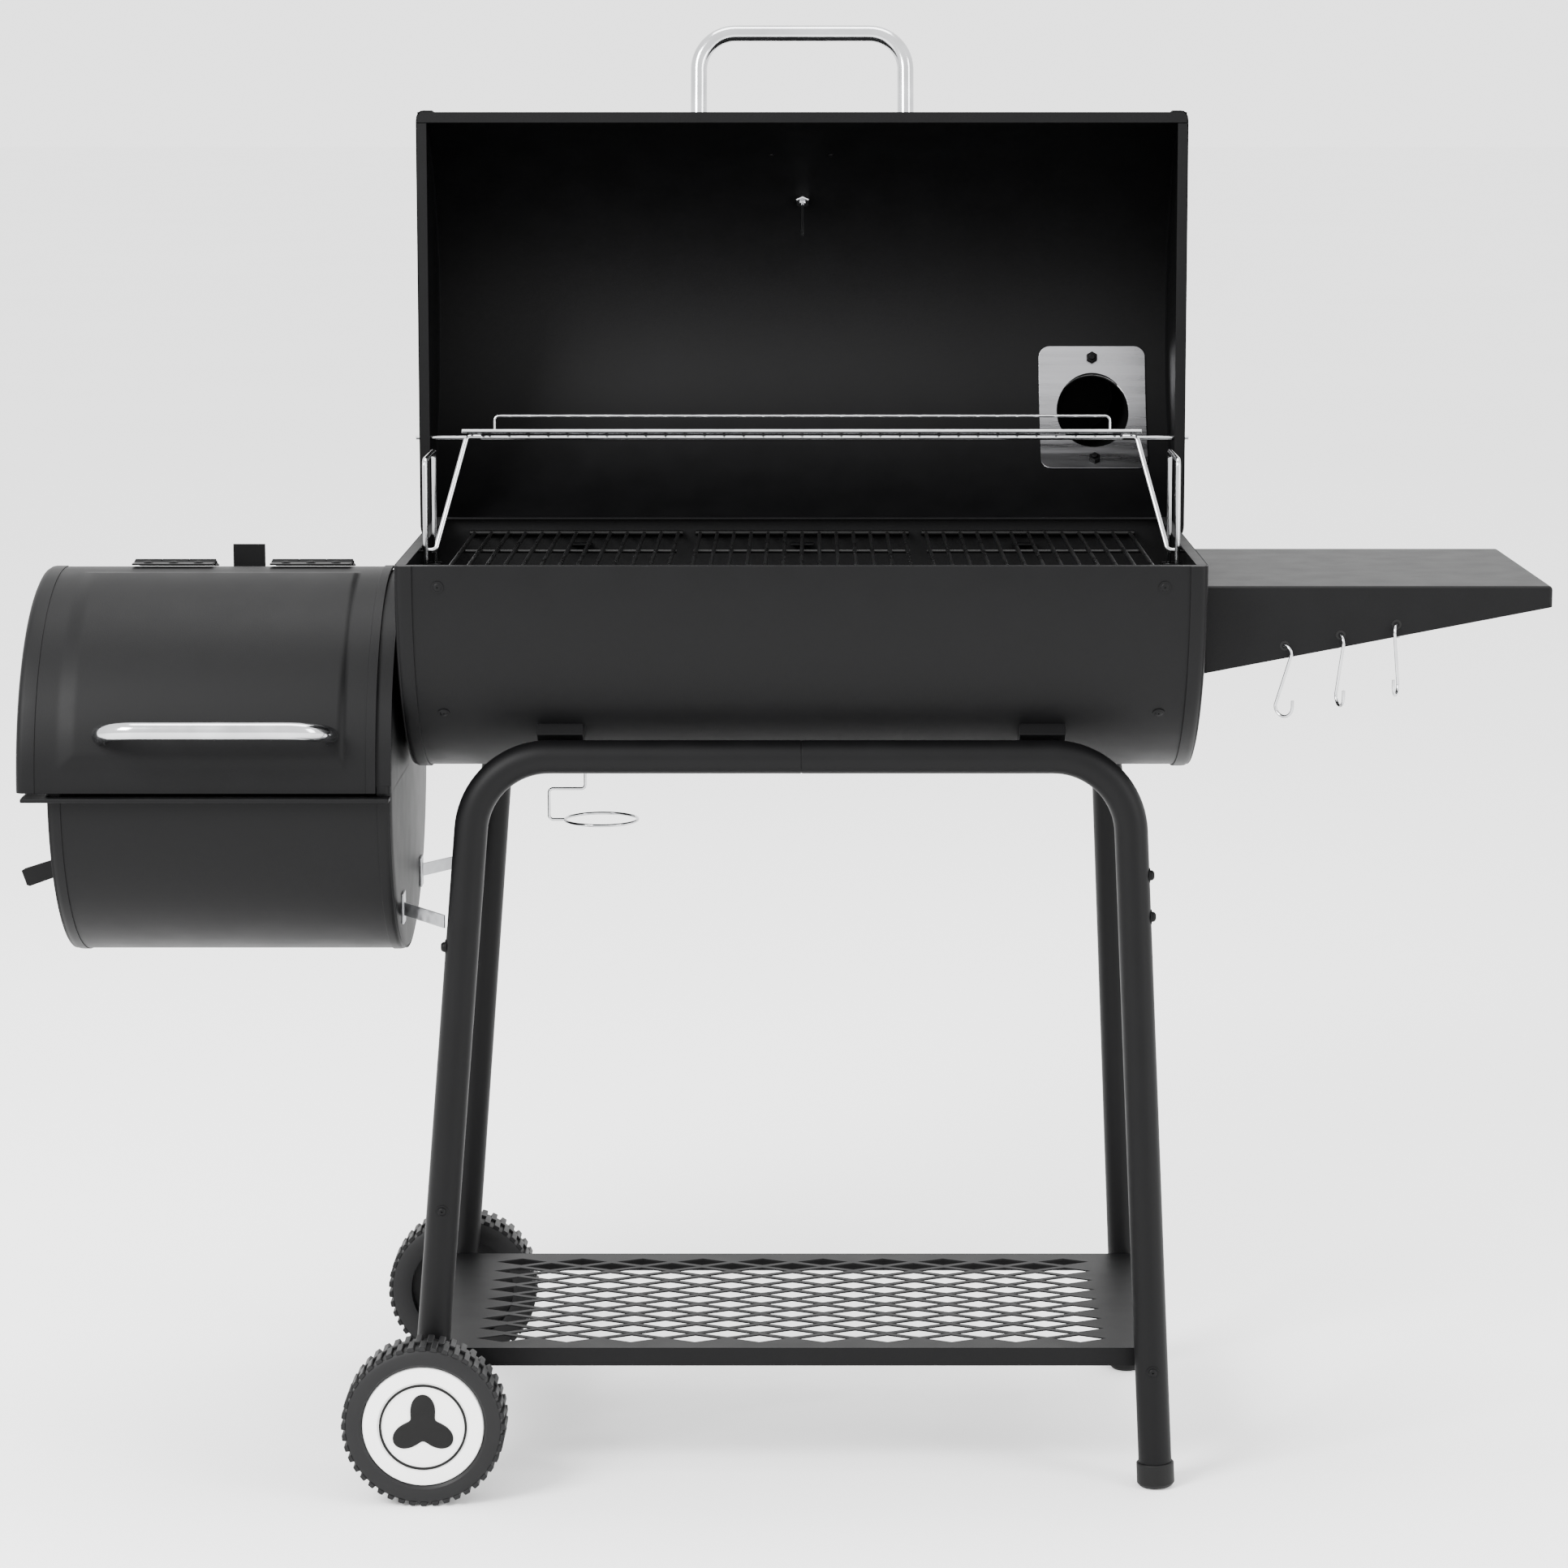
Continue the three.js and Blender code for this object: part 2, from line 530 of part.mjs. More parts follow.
function chimneyCap() {
  const z0 = CHIMNEY_TOP_Z + GAP;
  const z1 = z0 + CHIMNEY_CAP_SHEET;
  const pivotY = CHIMNEY_Y + CHIMNEY_RADIUS + CAP_PIVOT_REACH;
  const disc = bar(at(CHIMNEY_X, CHIMNEY_Y, z0), at(CHIMNEY_X, CHIMNEY_Y, z1), CHIMNEY_CAP_RADIUS, 28);
  const ear = bar(at(CHIMNEY_X, pivotY, z0), at(CHIMNEY_X, pivotY, z1), 10, 16);
  const tab = block(CHIMNEY_X - 9, CHIMNEY_X + 9,
    CHIMNEY_Y - CHIMNEY_CAP_RADIUS - 18, CHIMNEY_Y - CHIMNEY_CAP_RADIUS + 3, z0, z1);
  const hole = bar(at(CHIMNEY_X, pivotY, z0 - 2), at(CHIMNEY_X, pivotY, z1 + 2), 3.4, 12);
  return join([disc, ear, tab]).subtract(hole);
}

// ---------------------------------------------------------------- thermometer
const DIAL_DIRECTION = outward(DIAL_ANGLE);
const DIAL_SEAT = onLid(DIAL_ANGLE, BARREL_RADIUS + 0.6);

function dialCase() {
  const r = DIAL_RADIUS;
  const d = DIAL_DEPTH;
  const body = turned([[0, 0], [r - 3, 0], [r, 3], [r, d], [r - 2.4, d], [r - 2.4, d - 6], [0, d - 6]], 32);
  return aimed(body, DIAL_DIRECTION, DIAL_SEAT);
}

function dialLens() {
  const d = DIAL_DEPTH;
  const r = DIAL_RADIUS - 2.8;
  return aimed(turned([[0, d - 2], [r, d - 2], [r, d - 0.8], [0, d - 0.4]], 32), DIAL_DIRECTION, DIAL_SEAT);
}

function dialPointer() {
  const d = DIAL_DEPTH;
  const hub = turned([[0, d - 5.6], [3, d - 5.6], [3, d - 3.4], [0, d - 3.4]], 12);
  const needle = block(-1.1, 1.1, d - 4.8, d - 3.8, -6, DIAL_RADIUS - 8);
  return aimed(hub.add(needle), DIAL_DIRECTION, DIAL_SEAT);
}

function dialProbe() {
  const neck = -0.3;
  const nutTop = -(2 * SHEET + 3 * GAP) - 1;
  const pairs = [[0, -PROBE_LENGTH], [1.4, -PROBE_LENGTH], [2, -PROBE_LENGTH + 2], [2, nutTop - 6],
    [7, nutTop - 6], [7, nutTop], [3.2, nutTop], [3.2, neck], [0, neck]];
  return aimed(turned(pairs, 12), DIAL_DIRECTION, DIAL_SEAT);
}

// ---------------------------------------------------------------- warming rack, drawn open
// The rack is drawn level about its front pivots and then tipped back to meet the rear rod.
function warmingRack() {
  const depth = Math.hypot(...LEG_RUN);
  const lift = WIRE + 0.8;
  const back = depth + 6;
  const front = -10;
  const halfRun = ((RACK_ROD_COUNT - 1) / 2) * RACK_ROD_PITCH;
  const parts = [];
  for (let i = 0; i < RACK_ROD_COUNT; i += 1) {
    const x = -halfRun + i * RACK_ROD_PITCH;
    parts.push(block(x - 1.3, x + 1.3, front, back - 4, lift - 1.3, lift + 1.3));
  }
  for (const y of [front, back - 4]) {
    parts.push(block(-RACK_HALF_WIDTH, RACK_HALF_WIDTH, y - 2, y + 2, lift - 2, lift + 2));
  }
  for (const side of [-1, 1]) {
    const x = side * (RACK_HALF_WIDTH - 2);
    parts.push(block(x - 2, x + 2, front, back - 4, lift - 1.8, lift + 2.2));
    const postX = side * (halfRun - RACK_ROD_PITCH / 4);
    parts.push(block(postX - 1.5, postX + 1.5, back - 5.5, back - 2.5, lift + 1, lift + RACK_FENCE));
  }
  parts.push(block(-halfRun - 4, halfRun + 4, back - 5.4, back - 2.6,
    lift + RACK_FENCE - 1.4, lift + RACK_FENCE + 1.4));
  return join(parts);
}

function rackRod() {
  const reach = LID_END + 5;
  return bar(at(-reach, 0, 0), at(reach, 0, 0), WIRE / 2, 8);
}

// A leg wire with both ends bent along X, drawn from its lower pivot.
function rackLeg(side) {
  const rise = ROD_ABOVE_HINGE;
  const run = ROD_BEHIND_HINGE;
  const corners = [
    at(side * (BARREL_END - SHEET - 1), 0, 0),
    at(side * LEG_PIVOT_X, 0, 0),
    at(side * LEG_TOP_X, run, rise),
    at(side * (LEG_TOP_X - 14), run, rise),
  ];
  return bentTube(corners, 5, WIRE / 2, 6, 3);
}

// ---------------------------------------------------------------- grates and charcoal tray
function cookingGrate(index) {
  const width = (2 * GRATE_HALF_LENGTH) / GRATE_COUNT;
  const middle = -GRATE_HALF_LENGTH + (index + 0.5) * width;
  const halfDepth = Math.sqrt((SHELL_RADIUS - SHEET) ** 2 - (BARREL_AXIS_Z - GRATE_Z + 8) ** 2) - 4;
  const half = GRATE_ROD / 2;
  const halfRun = ((GRATE_RODS - 1) / 2) * GRATE_ROD_PITCH;
  const parts = [];
  for (let i = 0; i < GRATE_RODS; i += 1) {
    const x = middle - halfRun + i * GRATE_ROD_PITCH;
    parts.push(block(x - half, x + half, -halfDepth, halfDepth, GRATE_Z - half, GRATE_Z + half));
  }
  for (const y of [-halfDepth, halfDepth]) {
    parts.push(block(middle - halfRun - 5, middle + halfRun + 5, y - 3, y + 3, GRATE_Z - 3, GRATE_Z + 3));
  }
  return join(parts);
}

function charcoalTray() {
  const x = TRAY_HALF_LENGTH;
  const y = TRAY_HALF_DEPTH;
  const outer = block(-x, x, -y, y, TRAY_Z, TRAY_Z + TRAY_RIM);
  const inner = block(-x + 1.5, x - 1.5, -y + 1.5, y - 1.5, TRAY_Z + 1.5, TRAY_Z + TRAY_RIM + 1);
  const slots = [];
  for (let i = 0; i < TRAY_SLOT_COUNT; i += 1) {
    const middle = (i - (TRAY_SLOT_COUNT - 1) / 2) * TRAY_SLOT_PITCH;
    for (const side of [-1, 1]) {
      slots.push(block(middle - TRAY_SLOT_HALF_WIDTH, middle + TRAY_SLOT_HALF_WIDTH,
        side * TRAY_SLOT_Y - TRAY_SLOT_HALF_LENGTH, side * TRAY_SLOT_Y + TRAY_SLOT_HALF_LENGTH,
        TRAY_Z - 1, TRAY_Z + 3));
    }
  }
  return outer.subtract(inner).subtract(join(slots));
}

function trayHandle(side) {
  const inX = side * (TRAY_HALF_LENGTH + WIRE / 2 + 0.6);
  const outX = side * TRAY_HANDLE_X;
  const low = TRAY_Z + 8;
  const y = TRAY_HANDLE_HALF;
  return bentTube([at(inX, -y, low), at(outX, -y, low), at(outX, -y, TRAY_HANDLE_TOP),
    at(outX, y, TRAY_HANDLE_TOP), at(outX, y, low), at(inX, y, low)], 7, WIRE / 2, 6, 3);
}

// ---------------------------------------------------------------- firebox
// Outline of a firebox end: the lower half small, the upper half large.
function fireboxOutline() {
  return [
    ...arc(FIREBOX_HOOD_RADIUS, 0, 180, ARC_STEPS, 0, FIREBOX_AXIS_Z),
    ...arc(FIREBOX_RADIUS, 180, 360, ARC_STEPS, 0, FIREBOX_AXIS_Z),
  ];
}

const flangeSlots = (x0, x1) => [-1, 1].map((side) => {
  const inner = side * (FIREBOX_RADIUS - SHEET - 1);
  const outer = side * (FIREBOX_RADIUS + FIREBOX_FLANGE_REACH);
  return block(x0, x1, Math.min(inner, outer), Math.max(inner, outer),
    FIREBOX_RIM_Z - FIREBOX_FLANGE - GAP, FIREBOX_AXIS_Z + 0.5);
});

function damperHoles(x0, x1, turn) {
  return join([0, 1, 2].map((i) => {
    const angle = (90 + turn + i * 120) * DEG;
    const y = DAMPER_HOLE_CIRCLE * Math.cos(angle);
    const z = DAMPER_Z + DAMPER_HOLE_CIRCLE * Math.sin(angle);
    return bar(at(x0, y, z), at(x1, y, z), DAMPER_HOLE, 16);
  }));
}

function fireboxBowl() {
  const rimAngle = Math.asin((FIREBOX_AXIS_Z - FIREBOX_RIM_Z) / FIREBOX_RADIUS) / DEG;
  const shell = curvedSheet(FIREBOX_RADIUS, SHEET, 180 + rimAngle, 360 - rimAngle,
    FIREBOX_LEFT + GAP, FIREBOX_RIGHT - GAP, FIREBOX_AXIS_Z);
  const reach = FIREBOX_RADIUS + FIREBOX_FLANGE_REACH;
  const hole = FIREBOX_RADIUS - SHEET;
  const z0 = FIREBOX_RIM_Z - FIREBOX_FLANGE;
  const frame = block(FIREBOX_LID_LEFT + 6, FIREBOX_RIGHT, -reach, reach, z0, FIREBOX_RIM_Z);
  const opening = block(FIREBOX_LEFT - SHEET - GAP, FIREBOX_RIGHT + 1, -hole + 0.6, hole - 0.6,
    z0 - 1, FIREBOX_RIM_Z + 1);
  return join([shell, frame.subtract(opening)]);
}

function fireboxEnd(x0, x1) {
  return prismX(fireboxOutline(), x0, x1).subtract(join(flangeSlots(x0 - 1, x1 + 1)));
}

function fireboxLeftEnd() {
  const x0 = FIREBOX_LEFT - SHEET;
  const pivot = bar(at(x0 - 6, 0, DAMPER_Z), at(x0 + 1, 0, DAMPER_Z), 4, 12);
  return fireboxEnd(x0, FIREBOX_LEFT).subtract(damperHoles(x0 - 2, x0 + 4, 0)).add(pivot);
}

function fireboxRightEnd() {
  const plate = fireboxEnd(FIREBOX_RIGHT, FIREBOX_RIGHT + SHEET);
  const band = curvedSheet(FIREBOX_HOOD_RADIUS, SHEET, FIREBOX_SPLIT_ANGLE + 2, 178,
    FIREBOX_LID_RIGHT - 6, FIREBOX_RIGHT + SHEET, FIREBOX_AXIS_Z);
  const collar = bar(at(FIREBOX_RIGHT + SHEET / 2, 0, DUCT_Z), at(-BARREL_END - GAP, 0, DUCT_Z),
    DUCT_RADIUS + 4, 32);
  return join([plate, band, collar]).subtract(ductHole());
}

// The fixed rear hood, with a stop tab that keeps the opened lid from falling back.
function fireboxHood() {
  const shell = curvedSheet(FIREBOX_HOOD_RADIUS, SHEET, 0, FIREBOX_SPLIT_ANGLE - 4,
    FIREBOX_LEFT + GAP, FIREBOX_RIGHT - GAP, FIREBOX_AXIS_Z);
  const root = FIREBOX_AXIS_Z + FIREBOX_HOOD_RADIUS * Math.sin((FIREBOX_SPLIT_ANGLE - 14) * DEG) - 2;
  const y = FIREBOX_HOOD_RADIUS * Math.cos((FIREBOX_SPLIT_ANGLE - 14) * DEG);
  const tab = block(FIREBOX_MIDDLE - 16, FIREBOX_MIDDLE + 16, y - 1, y + 1, root, root + 32);
  return shell.add(tab);
}

function fireboxLid() {
  const r = FIREBOX_LID_RADIUS;
  const shell = curvedSheet(r, SHEET, FIREBOX_SPLIT_ANGLE, 180, FIREBOX_LID_LEFT, FIREBOX_LID_RIGHT,
    FIREBOX_AXIS_Z);
  const quarter = [
    ...arc(r, FIREBOX_SPLIT_ANGLE, 180, ARC_STEPS, 0, FIREBOX_AXIS_Z),
    new THREE.Vector2(r * Math.cos(FIREBOX_SPLIT_ANGLE * DEG), FIREBOX_AXIS_Z),
  ];
  const end = prismX(quarter, FIREBOX_LID_LEFT, FIREBOX_LID_LEFT + SHEET);
  return join([shell, end]);
}

function fireboxDamper() {
  const x1 = FIREBOX_LEFT - SHEET - GAP;
  const x0 = x1 - SHEET;
  const disc = bar(at(x0, 0, DAMPER_Z), at(x1, 0, DAMPER_Z), DAMPER_RADIUS, 36);
  const tab = [
    new THREE.Vector2(x1, DAMPER_Z + 4), new THREE.Vector2(x0 - 8, DAMPER_Z + 4),
    new THREE.Vector2(x1 - DAMPER_TAB_REACH, DAMPER_Z - 8),
    new THREE.Vector2(x1 - DAMPER_TAB_REACH + 6, DAMPER_Z - 25),
    new THREE.Vector2(x0 - 8, DAMPER_Z - 14), new THREE.Vector2(x1, DAMPER_Z - 14),
  ];
  const lever = prismY(tab, -DAMPER_RADIUS + 2, -DAMPER_RADIUS + 4);
  const hole = bar(at(x0 - 2, 0, DAMPER_Z), at(x1 + 2, 0, DAMPER_Z), 4.6, 12);
  return join([disc, lever]).subtract(damperHoles(x0 - 2, x1 + 2, 0)).subtract(hole);
}

function fireGrate() {
  const z = FIREBOX_AXIS_Z - FIRE_GRATE_DROP;
  const halfDepth = Math.sqrt((FIREBOX_RADIUS - SHEET) ** 2 - (FIRE_GRATE_DROP + 8) ** 2) - 3;
  const x0 = FIREBOX_LEFT + 8;
  const x1 = FIREBOX_RIGHT - 8;
  const parts = [];
  for (let i = 0; i < FIRE_GRATE_RODS; i += 1) {
    const x = x0 + 8 + ((x1 - x0 - 16) * i) / (FIRE_GRATE_RODS - 1);
    parts.push(block(x - 3, x + 3, -halfDepth, halfDepth, z - 3, z + 3));
  }
  for (const y of [-halfDepth, halfDepth]) {
    parts.push(block(x0, x1, y - 3, y + 3, z - 4, z + 4));
  }
  return join(parts);
}

// A folded strap from the firebox's right end to a left stand leg.
function fireboxBrace(side) {
  const z = FIREBOX_AXIS_Z - BRACE_DROP;
  const leg = onLeg(-LEFT_CORNER_X, -LEFT_FOOT_X, LEFT_FOOT_Z, z);
  const startX = FIREBOX_RIGHT + SHEET + GAP;
  const from = at(startX, side * BRACE_Y, z);
  const to = at(leg.x - TUBE_RADIUS - 3, side * (leg.y - 2), z);
  const run = new THREE.Vector3().subVectors(to, from);
  const strap = block(0, run.length(), -1, 1, -6.5, 6.5)
    .rotate([0, 0, Math.atan2(run.y, run.x) / DEG])
    .translate([from.x + 0.8, from.y, from.z]);
  const [foot0, foot1] = [side * (BRACE_Y - 16), side * (BRACE_Y + 4)].sort((a, b) => a - b);
  const foot = block(startX, startX + 2, foot0, foot1, z - 15, z + 15);
  return join([strap, foot]).subtract(block(startX - 8, startX, -200, 200, z - 20, z + 20));
}

// ---------------------------------------------------------------- hinges
// A leaf hinge along X: leafAngle says which way the plate lies from the pin. The fixed leaf
// carries the pin and the two outer knuckles, the moving leaf the middle knuckle.
function hingeLeaf(length, width, sheet, knuckle, direction, fixed) {
  const third = width / 6;
  const half = width / 2;
  const pinRadius = knuckle * 0.45;
  const plate = block(-half, half, 0, length, -sheet / 2, sheet / 2);
  const knuckles = fixed
    ? [[-half, -third - GAP], [third + GAP, half]]
    : [[-third, third]];
  const relief = fixed
    ? [block(-third - GAP, third + GAP, -1, knuckle + 1.2, -knuckle, knuckle)]
    : [block(-half - 1, -third, -1, knuckle + 1.2, -knuckle, knuckle),
      block(third, half + 1, -1, knuckle + 1.2, -knuckle, knuckle)];
  const barrels = knuckles.map(([x0, x1]) => bar(at(x0, 0, 0), at(x1, 0, 0), knuckle, 10));
  let leaf = join([plate.subtract(join(relief)), ...barrels]);
  const pin = (radius) => bar(at(-half - 1, 0, 0), at(half + 1, 0, 0), radius, 8);
  leaf = fixed ? leaf.add(pin(pinRadius)) : leaf.subtract(pin(pinRadius + GAP));
  return leaf.rotate([direction, 0, 0]);
}

// ---------------------------------------------------------------- stand
// Half of one side of the stand: a steel tube, open at both ends. past draws it longer.
function standRoute(sideX, cornerX, footX, footZ, sideY, past) {
  const corner = at(sideX * cornerX, sideY * BEAM_Y, BEAM_Z);
  const foot = at(sideX * footX, sideY * FOOT_Y, footZ);
  const down = new THREE.Vector3().subVectors(foot, corner).normalize();
  return [at(sideX * (GAP - past), sideY * BEAM_Y, BEAM_Z), corner, foot.addScaledVector(down, past)];
}

function standTube(...place) {
  const outside = bentTube(standRoute(...place, 0), LEG_BEND, TUBE_RADIUS, 16, 7);
  return outside.subtract(bentTube(standRoute(...place, 3), LEG_BEND, TUBE_RADIUS - TUBE_WALL, 16, 7));
}

function leftTube(sideY) {
  const hole = bar(at(AXLE.x, sideY * (AXLE.y - 40), WHEEL_RADIUS),
    at(AXLE.x, sideY * (AXLE.y + 40), WHEEL_RADIUS), AXLE_RADIUS + GAP, 12);
  return standTube(-1, LEFT_CORNER_X, LEFT_FOOT_X, LEFT_FOOT_Z, sideY).subtract(hole);
}

const rightTube = (sideY) =>
  standTube(1, RIGHT_CORNER_X, RIGHT_FOOT_X, RIGHT_FOOT_LIFT, sideY);

// A plastic cap over the end of a right leg, cut level with the ground.
function footCap(sideY) {
  const top = onLeg(RIGHT_CORNER_X, RIGHT_FOOT_X, RIGHT_FOOT_LIFT, FOOT_CAP_HEIGHT);
  const end = onLeg(RIGHT_CORNER_X, RIGHT_FOOT_X, RIGHT_FOOT_LIFT, -8);
  const a = at(top.x, sideY * top.y, FOOT_CAP_HEIGHT);
  const b = at(end.x, sideY * end.y, -8);
  const sleeve = bar(a, b, TUBE_RADIUS + 2.2, 16);
  const stop = onLeg(RIGHT_CORNER_X, RIGHT_FOOT_X, RIGHT_FOOT_LIFT, RIGHT_FOOT_LIFT - 1.5);
  const above = onLeg(RIGHT_CORNER_X, RIGHT_FOOT_X, RIGHT_FOOT_LIFT, FOOT_CAP_HEIGHT + 10);
  const bore = bar(at(above.x, sideY * above.y, FOOT_CAP_HEIGHT + 10),
    at(stop.x, sideY * stop.y, RIGHT_FOOT_LIFT - 1.5), TUBE_RADIUS + 0.6, 16);
  const ground = block(RIGHT_FOOT_X - 60, RIGHT_FOOT_X + 60, -FOOT_Y - 60, FOOT_Y + 60, -40, 0);
  return sleeve.subtract(bore).subtract(ground);
}

const AXLE_END = AXLE.y + TUBE_RADIUS + WHEEL_WIDTH - 5;
const axle = () => bar(at(AXLE.x, -AXLE_END, WHEEL_RADIUS), at(AXLE.x, AXLE_END, WHEEL_RADIUS),
  AXLE_RADIUS, 16);

// A wheel drawn about the Y axis from its inner face outwards, with a recess for the hub cap.
function wheel() {
  const bore = AXLE_RADIUS + 0.5;
  const rim = HUBCAP_RADIUS + 0.6;
  const w = WHEEL_WIDTH;
  return turned([[bore, 2], [14, 2], [14, w * 0.4], [rim - 4, w * 0.4], [rim - 4, 0],
    [WHEEL_RADIUS - 4, 0], [WHEEL_RADIUS, 4], [WHEEL_RADIUS, w - 4], [WHEEL_RADIUS - 4, w],
    [rim, w], [rim, w - 7], [bore, w - 7], [bore, 2]], 32);
}

function hubCap() {
  const w = WHEEL_WIDTH;
  const r = HUBCAP_RADIUS;
  return turned([[0, w - 6.4], [r, w - 6.4], [r, w - 2], [r - 3, w], [0, w]], 32);
}

function wheelAt(sideY, body) {
  const inner = AXLE.y + TUBE_RADIUS + 3;
  const placed = sideY > 0 ? body : body.rotate([180, 0, 0]);
  return placed.translate([AXLE.x, sideY * inner, WHEEL_RADIUS]);
}

// ---------------------------------------------------------------- perforated bottom shelf
function shelf() {
  const middle = (SHELF_LEFT + SHELF_RIGHT) / 2;
  const y = SHELF_HALF_DEPTH;
  const plate = new THREE.Shape([
    new THREE.Vector2(SHELF_LEFT, -y), new THREE.Vector2(SHELF_RIGHT, -y),
    new THREE.Vector2(SHELF_RIGHT, y), new THREE.Vector2(SHELF_LEFT, y),
  ]);
  for (let row = 0; row < DIAMOND_HALF_ROWS; row += 1) {
    const count = DIAMOND_COLUMNS - (row % 2);
    const cy = (row - (DIAMOND_HALF_ROWS - 1) / 2) * (DIAMOND_PITCH_Y / 2);
    for (let i = 0; i < count; i += 1) {
      const cx = middle + (i - (count - 1) / 2) * DIAMOND_PITCH_X;
      plate.holes.push(new THREE.Path([
        new THREE.Vector2(cx - DIAMOND_WIDTH / 2, cy), new THREE.Vector2(cx, cy + DIAMOND_DEPTH / 2),
        new THREE.Vector2(cx + DIAMOND_WIDTH / 2, cy), new THREE.Vector2(cx, cy - DIAMOND_DEPTH / 2),
      ]));
    }
  }
  const sheet = new THREE.ExtrudeGeometry(plate, { depth: SHEET, bevelEnabled: false, steps: 1 });
  sheet.translate(0, 0, SHELF_TOP_Z - SHEET);
  const inset = 0.4;
  const low = SHELF_TOP_Z - SHELF_FLANGE;
  const top = SHELF_TOP_Z - SHEET / 2;
  const outside = block(SHELF_LEFT + inset, SHELF_RIGHT - inset, -y + inset, y - inset, low, top);
  const inside = block(SHELF_LEFT + inset + SHEET, SHELF_RIGHT - inset - SHEET,
    -y + inset + SHEET, y - inset - SHEET, low - 1, top + 1);
  return solid(sheet).add(outside.subtract(inside));
}

// ---------------------------------------------------------------- side table and its hooks
const hookPlace = (offset) => {
  const fall = TABLE_ROOT_HEIGHT - TABLE_TIP_HEIGHT;
  const bottom = TABLE_TOP_Z - TABLE_ROOT_HEIGHT + (fall * offset) / TABLE_LENGTH;
  return at(TABLE_X + offset, -TABLE_HALF_DEPTH + SHEET / 2, bottom + HOOK_EDGE);
};

function sideTable() {
  const x0 = TABLE_X;
  const x1 = TABLE_X + TABLE_LENGTH;
  const y = TABLE_HALF_DEPTH;
  const top = TABLE_TOP_Z;
  const apron = [
    new THREE.Vector2(x0, top - TABLE_ROOT_HEIGHT), new THREE.Vector2(x1, top - TABLE_TIP_HEIGHT),
    new THREE.Vector2(x1, top), new THREE.Vector2(x0, top),
  ];
  const holes = HOOK_OFFSETS.map((offset) => {
    const place = hookPlace(offset);
    return bar(at(place.x, -y - 3, place.z), at(place.x, -y + 5, place.z), HOOK_HOLE, 12);
  });
  return join([
    block(x0, x1, -y, y, top - SHEET, top),
    prismY(apron, -y, -y + SHEET),
    prismY(apron, y - SHEET, y),
    block(x1 - SHEET, x1, -y, y, top - TABLE_TIP_HEIGHT, top),
    block(x0, x0 + SHEET, -y, y, top - TABLE_ROOT_HEIGHT, top),
  ]).subtract(join(holes));
}

// An S hook in the Y-Z plane, drawn about the point where it passes through its hole.
function sHook(yaw) {
  const top = HOOK_TOP_LOOP;
  const low = HOOK_BOTTOM_LOOP;
  const route = [at(0, top, -top - 6)];
  for (let i = 0; i <= 6; i += 1) {
    const angle = (Math.PI * i) / 6;
    route.push(at(0, top * Math.cos(angle), -top + top * Math.sin(angle)));
  }
  for (let i = 0; i <= 6; i += 1) {
    const angle = -(Math.PI * i) / 6;
    route.push(at(0, low * Math.cos(angle), -(HOOK_HEIGHT - low) + low * Math.sin(angle)));
  }
  route.push(at(0, -low, -(HOOK_HEIGHT - low) + 6));
  return sweep(route, HOOK_WIRE_RADIUS, 6).rotate([0, 0, yaw]);
}

// ---------------------------------------------------------------- drip cup holder
function dripHolder() {
  const floor = BARREL_AXIS_Z - BARREL_RADIUS;
  const r = THIN_WIRE / 2;
  const ring = new THREE.TorusGeometry(DRIP_RING_RADIUS, r, 6, 20);
  ring.translate(DRIP_X + 16, 0, floor - DRIP_LOWER_DROP);
  const outX = DRIP_X - DRIP_RING_RADIUS;
  const corners = [
    at(DRIP_X, 0, floor + 5), at(DRIP_X, 0, floor - DRIP_UPPER_DROP), at(outX, 0, floor - DRIP_UPPER_DROP),
    at(outX, 0, floor - DRIP_LOWER_DROP), at(outX + 17, 0, floor - DRIP_LOWER_DROP),
  ];
  const head = bar(at(DRIP_X, 0, floor + 4.6), at(DRIP_X, 0, floor + 6.6), 5, 12);
  return join([bentTube(corners, 4, r, 6, 3), solid(ring), head]);
}

// ---------------------------------------------------------------- assembly
const model = new THREE.Group();

function placed(parent, name, body, material) {
  const mesh = node(name, body, material);
  parent.add(mesh);
  return mesh;
}

function addBarrel() {
  placed(model, 'barrel_bowl_shell', barrelBowl(), BLACK_PAINT);
  placed(model, 'barrel_end_left', barrelEnd(-1), BLACK_PAINT);
  placed(model, 'barrel_end_right', barrelEnd(1), BLACK_PAINT);
}

